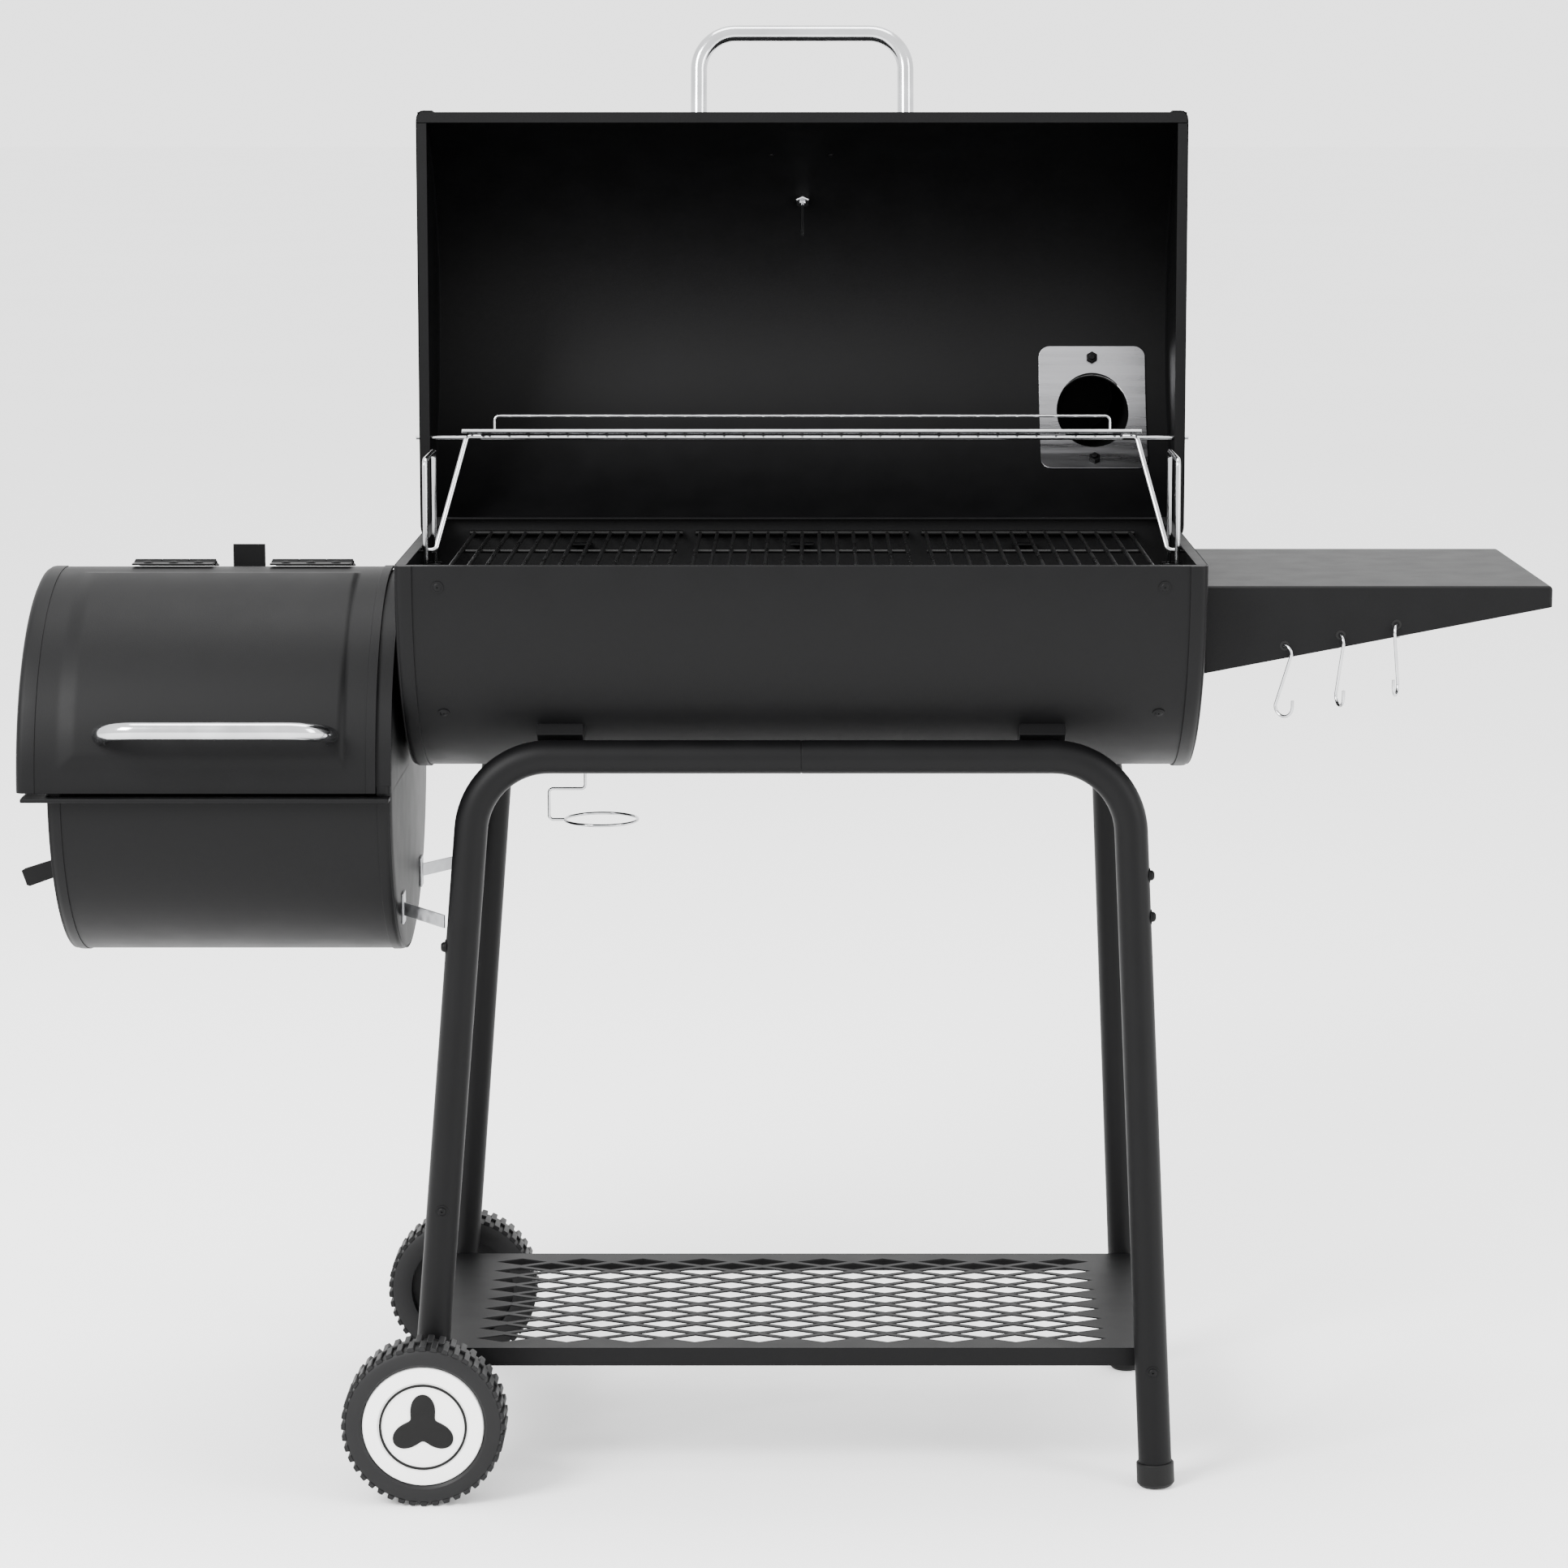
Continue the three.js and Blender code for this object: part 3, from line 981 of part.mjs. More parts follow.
// The lid group turns about the hinge line; it is drawn closed and set open by a quarter turn.
function addLid() {
  const lid = new THREE.Group();
  const inner = new THREE.Group();
  inner.position.set(0, -HINGE_Y, -HINGE_Z);
  lid.position.set(0, HINGE_Y, HINGE_Z);
  lid.rotation.x = -Math.PI / 2;
  lid.add(inner);
  model.add(lid);
  placed(inner, 'barrel_lid_shell', lidShell(), BLACK_PAINT);
  placed(inner, 'barrel_lid_end_left', lidEnd(-1), BLACK_PAINT);
  placed(inner, 'barrel_lid_end_right', lidEnd(1), BLACK_PAINT);
  placed(inner, 'barrel_lid_handle',
    drumHandle(0, LID_AXIS_Z, BARREL_RADIUS, LID_HANDLE_REACH, LID_HANDLE_ANGLE), CHROME);
  placed(inner, 'chimney_pipe', chimneyPipe(), BLACK_PAINT);
  placed(inner, 'chimney_inner_plate', chimneyPlate(), BRIGHT_STEEL);
  placed(inner, 'chimney_cap', chimneyCap(), BLACK_PAINT);
  placed(inner, 'thermometer_case', dialCase(), CHROME);
  placed(inner, 'thermometer_pointer', dialPointer(), DIAL_RED);
  placed(inner, 'thermometer_lens', dialLens(), GLASS);
  placed(inner, 'thermometer_probe', dialProbe(), CHROME);
  const rod = placed(inner, 'warming_rack_rod', rackRod(), CHROME);
  rod.position.set(0, ROD_CLOSED_Y, ROD_CLOSED_Z);
}

// Directions in the Y-Z plane that the two leaves take from the pin, in degrees.
const FIXED_LEAF_ANGLE = 252;
const LID_LEAF_CLOSED_ANGLE = 94;

function addHinges() {
  for (const [name, side] of [['left', -1], ['right', 1]]) {
    const parts = [
      ['fixed', hingeLeaf(FIXED_LEAF_LENGTH, HINGE_LEAF_WIDTH, HINGE_SHEET, HINGE_KNUCKLE,
        FIXED_LEAF_ANGLE, true)],
      ['lid', hingeLeaf(LID_LEAF_LENGTH, HINGE_LEAF_WIDTH, HINGE_SHEET, HINGE_KNUCKLE,
        LID_LEAF_CLOSED_ANGLE - 90, false)],
    ];
    for (const [kind, leaf] of parts) {
      const mesh = placed(model, `barrel_hinge_${kind}_${name}`, leaf, BLACK_PAINT);
      mesh.position.set(side * HINGE_X, HINGE_Y, HINGE_Z);
    }
  }
}

function addFireboxHinges() {
  const radius = FIREBOX_LID_RADIUS + FIREBOX_KNUCKLE + 1;
  const place = outward(FIREBOX_PIN_ANGLE).multiplyScalar(radius).add(at(0, 0, FIREBOX_AXIS_Z));
  const middle = (FIREBOX_LEFT + FIREBOX_RIGHT) / 2;
  for (const [name, side] of [['left', -1], ['right', 1]]) {
    const leaves = [
      ['fixed', hingeLeaf(FIREBOX_LEAF_LENGTH, FIREBOX_HINGE_WIDTH, FIREBOX_LEAF_SHEET,
        FIREBOX_KNUCKLE, FIREBOX_PIN_ANGLE - 97, true)],
      ['lid', hingeLeaf(FIREBOX_LEAF_LENGTH, FIREBOX_HINGE_WIDTH, FIREBOX_LEAF_SHEET,
        FIREBOX_KNUCKLE, FIREBOX_PIN_ANGLE + 96, false)],
    ];
    for (const [kind, leaf] of leaves) {
      const mesh = placed(model, `firebox_hinge_${kind}_${name}`, leaf, BLACK_PAINT);
      mesh.position.set(middle + side * FIREBOX_HINGE_SPACING, place.y, place.z);
    }
  }
}

function addInside() {
  const rack = placed(model, 'warming_rack', warmingRack(), CHROME);
  const legZ = HINGE_Z + ROD_ABOVE_HINGE;
  rack.position.set(0, ROD_BEHIND_HINGE, legZ + LEG_RUN[1]);
  rack.rotation.x = Math.atan2(-LEG_RUN[1], -LEG_RUN[0]);
  placed(model, 'rack_leg_left', rackLeg(-1), CHROME).position.z = LEG_PIVOT_Z;
  placed(model, 'rack_leg_right', rackLeg(1), CHROME).position.z = LEG_PIVOT_Z;
  ['left', 'middle', 'right'].forEach((name, index) => {
    placed(model, `cooking_grate_${name}`, cookingGrate(index), BLACK_ENAMEL);
  });
  placed(model, 'charcoal_tray', charcoalTray(), BLACK_ENAMEL);
  placed(model, 'tray_handle_left', trayHandle(-1), CHROME);
  placed(model, 'tray_handle_right', trayHandle(1), CHROME);
}

function addFirebox() {
  placed(model, 'firebox_bowl_shell', fireboxBowl(), BLACK_PAINT);
  placed(model, 'firebox_end_left', fireboxLeftEnd(), BLACK_PAINT);
  placed(model, 'firebox_end_right', fireboxRightEnd(), BLACK_PAINT);
  placed(model, 'firebox_hood', fireboxHood(), BLACK_PAINT);
  placed(model, 'firebox_lid', fireboxLid(), BLACK_PAINT);
  placed(model, 'firebox_lid_handle', drumHandle((FIREBOX_LID_LEFT + FIREBOX_LID_RIGHT) / 2 + 20,
    FIREBOX_AXIS_Z, FIREBOX_LID_RADIUS, FIREBOX_HANDLE_REACH, FIREBOX_HANDLE_ANGLE), CHROME);
  placed(model, 'firebox_damper', fireboxDamper(), BLACK_PAINT);
  placed(model, 'firebox_grate', fireGrate(), BLACK_ENAMEL);
  placed(model, 'firebox_brace_front', fireboxBrace(-1), GALVANISED);
  placed(model, 'firebox_brace_rear', fireboxBrace(1), GALVANISED);
}

function addStand() {
  placed(model, 'stand_tube_front_left', leftTube(-1), BLACK_PAINT);
  placed(model, 'stand_tube_rear_left', leftTube(1), BLACK_PAINT);
  placed(model, 'stand_tube_front_right', rightTube(-1), BLACK_PAINT);
  placed(model, 'stand_tube_rear_right', rightTube(1), BLACK_PAINT);
  placed(model, 'foot_cap_front', footCap(-1), BLACK_ENAMEL);
  placed(model, 'foot_cap_rear', footCap(1), BLACK_ENAMEL);
  placed(model, 'axle', axle(), GALVANISED);
  placed(model, 'wheel_front', wheelAt(-1, wheel()), TYRE_BLACK);
  placed(model, 'wheel_rear', wheelAt(1, wheel()), TYRE_BLACK);
  placed(model, 'hub_cap_front', wheelAt(-1, hubCap()), HUB_WHITE);
  placed(model, 'hub_cap_rear', wheelAt(1, hubCap()), HUB_WHITE);
  placed(model, 'bottom_shelf', shelf(), BLACK_PAINT);
}

function addTable() {
  placed(model, 'side_table', sideTable(), BLACK_PAINT);
  HOOK_OFFSETS.forEach((offset, index) => {
    const hook = placed(model, `tool_hook_${index + 1}`, sHook(HOOK_YAWS[index]), CHROME);
    hook.position.copy(hookPlace(offset));
  });
  placed(model, 'drip_cup_holder', dripHolder(), CHROME);
}

addBarrel();
addLid();
addHinges();
addInside();
addFirebox();
addFireboxHinges();
addStand();
addTable();

// The origin is the middle of the bounding box at ground level.
model.updateMatrixWorld(true);
const bounds = new THREE.Box3().setFromObject(model, true);
const centre = bounds.getCenter(new THREE.Vector3());
model.position.set(-centre.x, -centre.y, -bounds.min.z);
model.updateMatrixWorld(true);

export default model;
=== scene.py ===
import math
import bmesh
import bpy
from mathutils import Matrix, Vector


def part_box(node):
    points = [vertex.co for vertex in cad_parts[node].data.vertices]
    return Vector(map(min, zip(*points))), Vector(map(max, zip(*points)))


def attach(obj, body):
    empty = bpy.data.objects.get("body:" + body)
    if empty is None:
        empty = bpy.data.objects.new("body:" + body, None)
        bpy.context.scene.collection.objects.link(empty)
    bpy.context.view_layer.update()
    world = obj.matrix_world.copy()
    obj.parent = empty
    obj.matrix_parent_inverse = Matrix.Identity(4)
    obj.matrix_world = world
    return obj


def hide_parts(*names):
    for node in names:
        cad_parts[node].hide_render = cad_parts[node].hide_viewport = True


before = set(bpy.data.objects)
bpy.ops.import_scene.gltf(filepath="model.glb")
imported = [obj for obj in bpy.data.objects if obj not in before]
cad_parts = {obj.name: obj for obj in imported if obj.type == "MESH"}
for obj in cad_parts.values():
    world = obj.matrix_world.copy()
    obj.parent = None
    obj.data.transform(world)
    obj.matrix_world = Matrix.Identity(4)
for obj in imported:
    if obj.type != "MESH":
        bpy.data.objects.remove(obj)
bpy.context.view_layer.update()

# ---------------------------------------------------------------- sizes in millimetres
# Places are drawn about the middle of the barrel: X along it, -Y the front, Z above the ground.
MM = 0.001
SHEET = 1.4
GAP = 0.3
FINE_ARC = 96
BARREL_END = 381.0
BARREL_RADIUS = 222.0
SHELL_RADIUS = 220.3
BARREL_AXIS_Z = 900.0
BAND = 17.0
LIP = 11.0
SADDLE_X = 230.0
LID_END = 400.0
LID_AXIS_Z = 901.0
HINGE_Y = 227.0
HINGE_Z = 870.0
HINGE_X = 250.0
HANDLE_HALF = 108.0
HANDLE_TUBE = 8.5
HANDLE_BEND = 38.0
LID_HANDLE_ANGLE = 168.0
LID_HANDLE_REACH = 86.0
FIRE_HANDLE_ANGLE = 164.0
FIRE_HANDLE_REACH = 45.0
BADGE_SCREW_ANGLE = 142.7
CHIMNEY_X = 316.0
CHIMNEY_ANGLE = 61.0
CHIMNEY_RADIUS = 40.5
CHIMNEY_HEIGHT = 250.0
CHIMNEY_FLANGE_HALF_X = 56.0
CHIMNEY_FLANGE_ANGLE = 15.0
CHIMNEY_PLATE_HALF_X = 58.0
CHIMNEY_PLATE_HALF_RUN = 74.5
CHIMNEY_NUT_ANGLE = 16.2
DIAL_ANGLE = 125.0
DIAL_RADIUS = 30.0
DIAL_DEPTH = 14.0
PROBE_LENGTH = 68.0
RACK_HALF_WIDTH = 337.0
RACK_RODS = 33
RACK_PITCH = 20.5
RACK_FENCE = 17.0
WIRE = 5.0
ROD_RISE = 108.0
ROD_RUN = 48.0
ROD_CLOSED = (HINGE_Y - ROD_RISE, HINGE_Z + ROD_RUN)
LEG_PIVOT_Z = 890.0
LEG_PIVOT_X = 361.0
LEG_TOP_X = 333.0
GRATE_HALF = 351.0
GRATE_Z = 884.0
GRATE_PITCH = 17.6
GRATE_RODS = 13
TRAY_Z = 745.0
TRAY_X = 350.0
TRAY_Y = 138.0
TRAY_RIM = 22.0
TRAY_HANDLE_X = 366.0
TRAY_HANDLE_TOP = 984.0
TRAY_HANDLE_HALF = 50.0
FIREBOX_AXIS_Z = 680.0
FIREBOX_RADIUS = 185.0
HOOD_RADIUS = 190.0
FIRE_LID_RADIUS = 193.0
FIREBOX_RIGHT = -390.0
FIREBOX_LEFT = -716.0
FIRE_LID_LEFT = -745.0
FIRE_LID_RIGHT = -403.0
SPLIT_ANGLE = 85.0
PIN_ANGLE = 83.0
FIRE_HINGE_X = 68.0
DUCT_Z = 770.0
DUCT_RADIUS = 70.0
DAMPER_Z = 590.0
DAMPER_RADIUS = 62.0
DAMPER_HOLE = 14.0
DAMPER_HOLE_CIRCLE = 38.0
FIRE_GRATE_DROP = 80.0
BRACE_DROP = 129.0
PANEL_RISE = 2.6
TUBE_RADIUS = 16.0
BEAM_Z = 710.0
BEAM_Y = 160.0
FOOT_Y = 187.0
LEG_BEND = 75.0
LEFT_LEG = (-310.0, -362.0, 55.0)
RIGHT_LEG = (312.0, 343.0, 6.0)
FACE_BOLTS = ((RIGHT_LEG, 116.0), (LEFT_LEG, 274.0))
SIDE_BOLTS = ((RIGHT_LEG, 596.0, 1), (RIGHT_LEG, 556.0, 1), (LEFT_LEG, 527.0, -1))
BOWL_SCREW_X = 340.0
BOWL_SCREW_ANGLES = (185.2, 221.8)
FOOT_CAP_TOP = 26.0
AXLE_RADIUS = 5.0
WHEEL_RADIUS = 78.5
WHEEL_WIDTH = 45.0
HUB_RADIUS = 58.0
HUB_CENTRE_RADIUS = 23.0
HUB_CENTRE_SWELL = 9.0
TREAD_LUGS = 88
SHELF_Z = 130.0
SHELF_LEFT = -365.0
SHELF_RIGHT = 345.0
SHELF_Y = 164.0
SHELF_FLANGE = 18.0
DIAMOND_PITCH_X = 62.6
DIAMOND_PITCH_Y = 33.2
DIAMOND_HALF_WIDTH = 26.0
DIAMOND_HALF_DEPTH = 12.0
DIAMOND_COLUMNS = 10
DIAMOND_HALF_ROWS = 17
TABLE_X = 381.3
TABLE_LENGTH = 332.0
TABLE_Y = 161.0
TABLE_Z = 874.0
TABLE_ROOT = 84.0
TABLE_TIP = 20.0
HOOK_OFFSETS = (78.0, 131.0, 184.0)
HOOK_YAWS = (48.0, 14.0, -20.0)
HOOK_HEIGHT = 68.0
DRIP_X = -215.0
DRIP_RING_RADIUS = 36.0
DRIP_UPPER_DROP = 26.0
DRIP_LOWER_DROP = 57.0

bowl_low, bowl_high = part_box("barrel_bowl_shell")
MIDDLE = Vector(((bowl_low.x + bowl_high.x) / 2, (bowl_low.y + bowl_high.y) / 2, 0))


# ---------------------------------------------------------------- materials
def surface(name, colour, rough, metal=0.0, uneven=0.05, patch=30.0, bump=0.0, grain=900.0, stretch=(1, 1, 1),
            shine=0.5, tint=0.12, spangle=False):
    """A procedural finish: colour and roughness vary in soft patches, and a fine grain lifts the surface."""
    material = bpy.data.materials.new(name)
    material.use_nodes = True
    nodes = material.node_tree.nodes
    links = material.node_tree.links
    shader = nodes["Principled BSDF"]
    shader.inputs["Metallic"].default_value = metal
    shader.inputs["Specular IOR Level"].default_value = shine
    place = nodes.new("ShaderNodeTexCoord")
    scale = nodes.new("ShaderNodeMapping")
    scale.inputs["Scale"].default_value = stretch
    links.new(place.outputs["Object"], scale.inputs["Vector"])
    patches = nodes.new("ShaderNodeTexVoronoi" if spangle else "ShaderNodeTexNoise")
    patches.inputs["Scale"].default_value = patch
    links.new(scale.outputs["Vector"], patches.inputs["Vector"])
    amount = patches.outputs["Distance"] if spangle else patches.outputs["Fac"]
    spread = nodes.new("ShaderNodeMapRange")
    spread.inputs["From Min"].default_value = 0.3
    spread.inputs["From Max"].default_value = 0.7
    spread.inputs["To Min"].default_value = max(rough - uneven, 0.02)
    spread.inputs["To Max"].default_value = rough + uneven
    links.new(amount, spread.inputs["Value"])
    links.new(spread.outputs["Result"], shader.inputs["Roughness"])
    ramp = nodes.new("ShaderNodeValToRGB")
    ramp.color_ramp.elements[0].position = 0.3
    ramp.color_ramp.elements[0].color = (*[c * (1 - tint) for c in colour], 1)
    ramp.color_ramp.elements[1].position = 0.7
    ramp.color_ramp.elements[1].color = (*[min(c * (1 + tint), 1) for c in colour], 1)
    links.new(amount, ramp.inputs["Fac"])
    links.new(ramp.outputs["Color"], shader.inputs["Base Color"])
    fine = nodes.new("ShaderNodeTexNoise")
    fine.inputs["Scale"].default_value = grain
    fine.inputs["Detail"].default_value = 3
    links.new(scale.outputs["Vector"], fine.inputs["Vector"])
    lift = nodes.new("ShaderNodeBump")
    lift.inputs["Strength"].default_value = bump
    lift.inputs["Distance"].default_value = 0.0004
    links.new(fine.outputs["Fac"], lift.inputs["Height"])
    links.new(lift.outputs["Normal"], shader.inputs["Normal"])
    return material


def lens_glass():
    """Clear glass, thin and almost colourless."""
    material = surface("dial_glass", (0.95, 0.97, 0.98), 0.04, uneven=0.01, tint=0.01)
    shader = material.node_tree.nodes["Principled BSDF"]
    shader.inputs["Transmission Weight"].default_value = 0.95
    shader.inputs["IOR"].default_value = 1.1
    return material


FINISHES = {
    "black_paint": surface("black_paint", (0.0018, 0.0018, 0.002), 0.5, uneven=0.02, bump=0.25, grain=1100.0,
                           shine=0.11),
    "chrome": surface("chrome", (0.46, 0.465, 0.475), 0.14, metal=1.0, uneven=0.04, bump=0.04, grain=500.0),
    "bright_steel": surface("bright_steel", (0.27, 0.27, 0.28), 0.3, metal=1.0, uneven=0.08, bump=0.25,
                            grain=300.0, stretch=(0.2, 1, 5)),
    "galvanised_steel": surface("galvanised_steel", (0.36, 0.365, 0.375), 0.38, metal=0.9, uneven=0.1,
                                patch=90.0, bump=0.1, spangle=True),
    "black_enamel": surface("black_enamel", (0.0025, 0.0025, 0.0025), 0.3, uneven=0.06, bump=0.15, shine=0.2),
    "wheel_plastic": surface("wheel_plastic", (0.004, 0.004, 0.0043), 0.55, uneven=0.08, bump=0.3, shine=0.2),
    "hub_cap_white": surface("hub_cap_white", (0.86, 0.86, 0.85), 0.35, uneven=0.05, bump=0.05, tint=0.02),
    "foot_plastic": surface("foot_plastic", (0.003, 0.003, 0.003), 0.55, uneven=0.06, bump=0.3, shine=0.15),
    "dial_glass": lens_glass(),
    "pointer_red": surface("pointer_red", (0.5, 0.02, 0.015), 0.4, uneven=0.04, bump=0.05, tint=0.05),
}


# ---------------------------------------------------------------- mesh code
def at(x, y, z):
    return Vector((x, y, z))


def around(radius, degrees, x=0.0, axis_z=0.0):
    """A point on a drum about X: 0 degrees is the back, 90 is up and 180 is the front."""
    angle = math.radians(degrees)
    return Vector((x, radius * math.cos(angle), axis_z + radius * math.sin(angle)))


def between(low, high, steps):
    return [low + (high - low) * i / steps for i in range(steps + 1)]


def arc(radius, start, end, steps=FINE_ARC, axis_z=0.0):
    return [around(radius, degrees, 0.0, axis_z) for degrees in between(start, end, steps)]


class Shape:
    """Points in millimetres and the faces between them."""

    def __init__(self):
        self.points = []
        self.faces = []

    def grid(self, rows, ring=False, caps=False, loop=False):
        """A skin over rows of points. ring closes every row, loop joins the last row to the first."""
        base = len(self.points)
        width = len(rows[0])
        for row in rows:
            self.points.extend(row)
        last = len(rows) if loop else len(rows) - 1
        for i in range(last):
            j = (i + 1) % len(rows)
            for k in range(width if ring else width - 1):
                m = (k + 1) % width
                self.faces.append([base + i * width + k, base + j * width + k,
                                   base + j * width + m, base + i * width + m])
        if caps:
            self.faces.append([base + k for k in range(width)])
            top = base + (len(rows) - 1) * width
            self.faces.append([top + k for k in reversed(range(width))])
        return self

    def prism(self, section, x0, x1):
        """A section of points in Y and Z, drawn out along X."""
        return self.grid([[p + at(x, 0, 0) for p in section] for x in (x0, x1)], ring=True, caps=True)

    def block(self, x0, x1, y0, y1, z0, z1):
        section = [at(0, y0, z0), at(0, y1, z0), at(0, y1, z1), at(0, y0, z1)]
        return self.prism(section, x0, x1)

    def curved(self, radius, thickness, start, end, x0, x1, axis_z, steps=FINE_ARC):
        """A strip of sheet rolled about X."""
        section = arc(radius, start, end, steps, axis_z) + arc(radius - thickness, end, start, steps, axis_z)
        return self.prism(section, x0, x1)

    def dished(self, profile, start, end, x, side, axis_z, steps=FINE_ARC):
        """A closed profile of (radius, depth behind the face) turned part of the way round X."""
        rows = [[around(r, degrees, x - side * depth, axis_z) for r, depth in profile]
                for degrees in between(start, end, steps)]
        return self.grid(rows, ring=True, caps=True)

    def turned(self, pairs, direction, place, steps=48):
        """(radius, distance) pairs turned about a direction through a place."""
        spin = Vector((0, 0, 1)).rotation_difference(direction)
        rows = []
        for i in range(steps):
            angle = 2 * math.pi * i / steps
            around_axis = Vector((math.cos(angle), math.sin(angle), 0))
            rows.append([spin @ (around_axis * r + Vector((0, 0, d))) + place for r, d in pairs])
        return self.grid(rows, ring=False, loop=True)

    def rod(self, start, end, radius, sides=24, ease=0.0):
        """A round rod with its end edges eased."""
        run = end - start
        ease = ease or radius * 0.15
        pairs = [(0, 0), (radius - ease, 0), (radius, ease), (radius, run.length - ease),
                 (radius - ease, run.length), (0, run.length)]
        return self.turned(pairs, run.normalized(), start, sides)

    def tube(self, route, radius, sides=24, loop=False):
        """A round tube along a list of points, without twist."""
        count = len(route)
        tangents = []
        for i in range(count):
            before = route[i - 1] if loop or i > 0 else route[0]
            after = route[(i + 1) % count] if loop or i < count - 1 else route[-1]
            tangents.append((after - before).normalized())
        side = tangents[0].orthogonal().normalized()
        rows = []
        for i in range(count):
            if i > 0:
                side = (tangents[i - 1].rotation_difference(tangents[i]) @ side).normalized()
            other = tangents[i].cross(side)
            rows.append([route[i] + (side * math.cos(a) + other * math.sin(a)) * radius
                         for a in (2 * math.pi * k / sides for k in range(sides))])
        return self.grid(rows, ring=True, caps=not loop, loop=loop)

    def moved(self, change):
        self.points = [change(p) for p in self.points]
        return self

    def add(self, other):
        base = len(self.points)
        self.points.extend(other.points)
        self.faces.extend([base + k for k in face] for face in other.faces)
        return self


def rounded(corners, bend, steps=10):
    """Corner points with every inner corner rounded to one bend radius."""
    route = [corners[0]]
    for before, here, after in zip(corners, corners[1:], corners[2:]):
        into = (here - before).normalized()
        out = (after - here).normalized()
        turn = into.angle(out)
        start = here - into * bend * math.tan(turn / 2)
        side = (out - into * out.dot(into)).normalized()
        for angle in between(0.0, turn, steps):
            route.append(start + side * bend * (1 - math.cos(angle)) + into * bend * math.sin(angle))
    route.append(corners[-1])
    return route


def bent(corners, bend, radius, sides=24, steps=10):
    return Shape().tube(rounded(corners, bend, steps), radius, sides)


def rounded_rectangle(half_u, half_v, corner, steps=8):
    """Corner-rounded rectangle as (u, v) pairs, anticlockwise."""
    pairs = []
    for index, (su, sv) in enumerate([(1, 1), (-1, 1), (-1, -1), (1, -1)]):
        for angle in between(index * 90.0, index * 90.0 + 90.0, steps):
            turn = math.radians(angle)
            pairs.append((su * (half_u - corner) + corner * math.cos(turn),
                          sv * (half_v - corner) + corner * math.sin(turn)))
    return pairs


def with_short_sides(pairs, longest):
    """The same closed outline with points added, so that no side is longer than a given length."""
    finer = []
    for (u0, v0), (u1, v1) in zip(pairs, pairs[1:] + pairs[:1]):
        count = max(1, math.ceil(math.hypot(u1 - u0, v1 - v0) / longest))
        finer.extend((u0 + (u1 - u0) * i / count, v0 + (v1 - v0) * i / count) for i in range(count))
    return finer


def opened(p):
    """Where a point drawn on the closed lid lies when the lid stands open, a quarter turn back."""
    return Vector((p.x, HINGE_Y + (p.z - HINGE_Z), HINGE_Z - (p.y - HINGE_Y)))


def raw_object(name, shape):
    mesh = bpy.data.meshes.new(name)
    mesh.from_pydata([(p * MM) + MIDDLE for p in shape.points], [], shape.faces)
    made = bpy.data.objects.new(name, mesh)
    bpy.context.scene.collection.objects.link(made)
    work = bmesh.new()
    work.from_mesh(mesh)
    bmesh.ops.remove_doubles(work, verts=work.verts, dist=0.00001)
    bmesh.ops.dissolve_degenerate(work, edges=work.edges, dist=0.000005)
    bmesh.ops.recalc_face_normals(work, faces=work.faces)
    work.to_mesh(mesh)
    work.free()
    return made


def as_shown(made):
    """The mesh of an object with its modifiers applied."""
    bpy.context.view_layer.update()
    return bpy.data.meshes.new_from_object(made.evaluated_get(bpy.context.evaluated_depsgraph_get()))


def carve(made, cutters):
    """Cuts closed shapes out of a piece's mesh."""
    for cutter in cutters:
        tool = raw_object("cutter", cutter)
        cut = made.modifiers.new("cut", "BOOLEAN")
        cut.operation = "DIFFERENCE"
        cut.solver = "EXACT"
        cut.object = tool
        result = as_shown(made)
        made.modifiers.remove(cut)
        made.data = result
        bpy.data.objects.remove(tool)


def piece(name, shape, finish, body, nodes=(), bevel=0.0, cutters=(), crease=35.0, skin=0.0):
    """A finished piece: cut, creased at sharp edges, eased with a bevel, painted and riding its body."""
    made = raw_object(name, shape)
    carve(made, cutters)
    work = bmesh.new()
    work.from_mesh(made.data)
    for face in work.faces:
        face.smooth = True
    for edge in work.edges:
        if len(edge.link_faces) != 2 or edge.calc_face_angle(0.0) > math.radians(crease):
            edge.smooth = False
    work.to_mesh(made.data)
    work.free()
    if bevel:
        ease = made.modifiers.new("ease", "BEVEL")
        ease.width = bevel * MM
        ease.segments = 3
        ease.limit_method = "ANGLE"
        ease.angle_limit = math.radians(crease)
        ease.harden_normals = True
    if skin:
        thick = made.modifiers.new("thick", "SOLIDIFY")
        thick.thickness = skin * MM
        thick.offset = -1
    made.data.materials.clear()
    made.data.materials.append(FINISHES[finish])
    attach(made, body)
    if nodes:
        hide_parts(*nodes)
    return made


def screw_head(shape, place, direction, radius=5.0, height=2.6):
    """A domed screw head on a small washer."""
    pairs = [(0, -0.6), (radius * 1.45, -0.6), (radius * 1.45, 0.8), (radius, 0.9), (radius, height * 0.45),
             (radius * 0.85, height * 0.8), (radius * 0.55, height), (radius * 0.2, height),
             (radius * 0.12, height * 0.45), (0, height * 0.45)]
    return shape.turned(pairs, direction, place, 24)


def nut(shape, place, direction, radius=6.5, height=5.0):
    """A hexagon nut with a stub of thread standing out of it."""
    spin = Vector((0, 0, 1)).rotation_difference(direction)
    rows = []
    for distance, reach in ((-0.5, radius), (height * 0.85, radius), (height, radius * 0.86)):
        rows.append([spin @ Vector((reach * math.cos(a), reach * math.sin(a), distance)) + place
                     for a in (math.radians(60 * k + 30) for k in range(6))])
    shape.grid(rows, ring=True, caps=True)
    return shape.rod(place, place + direction * (height + 3.0), radius * 0.5, 16)


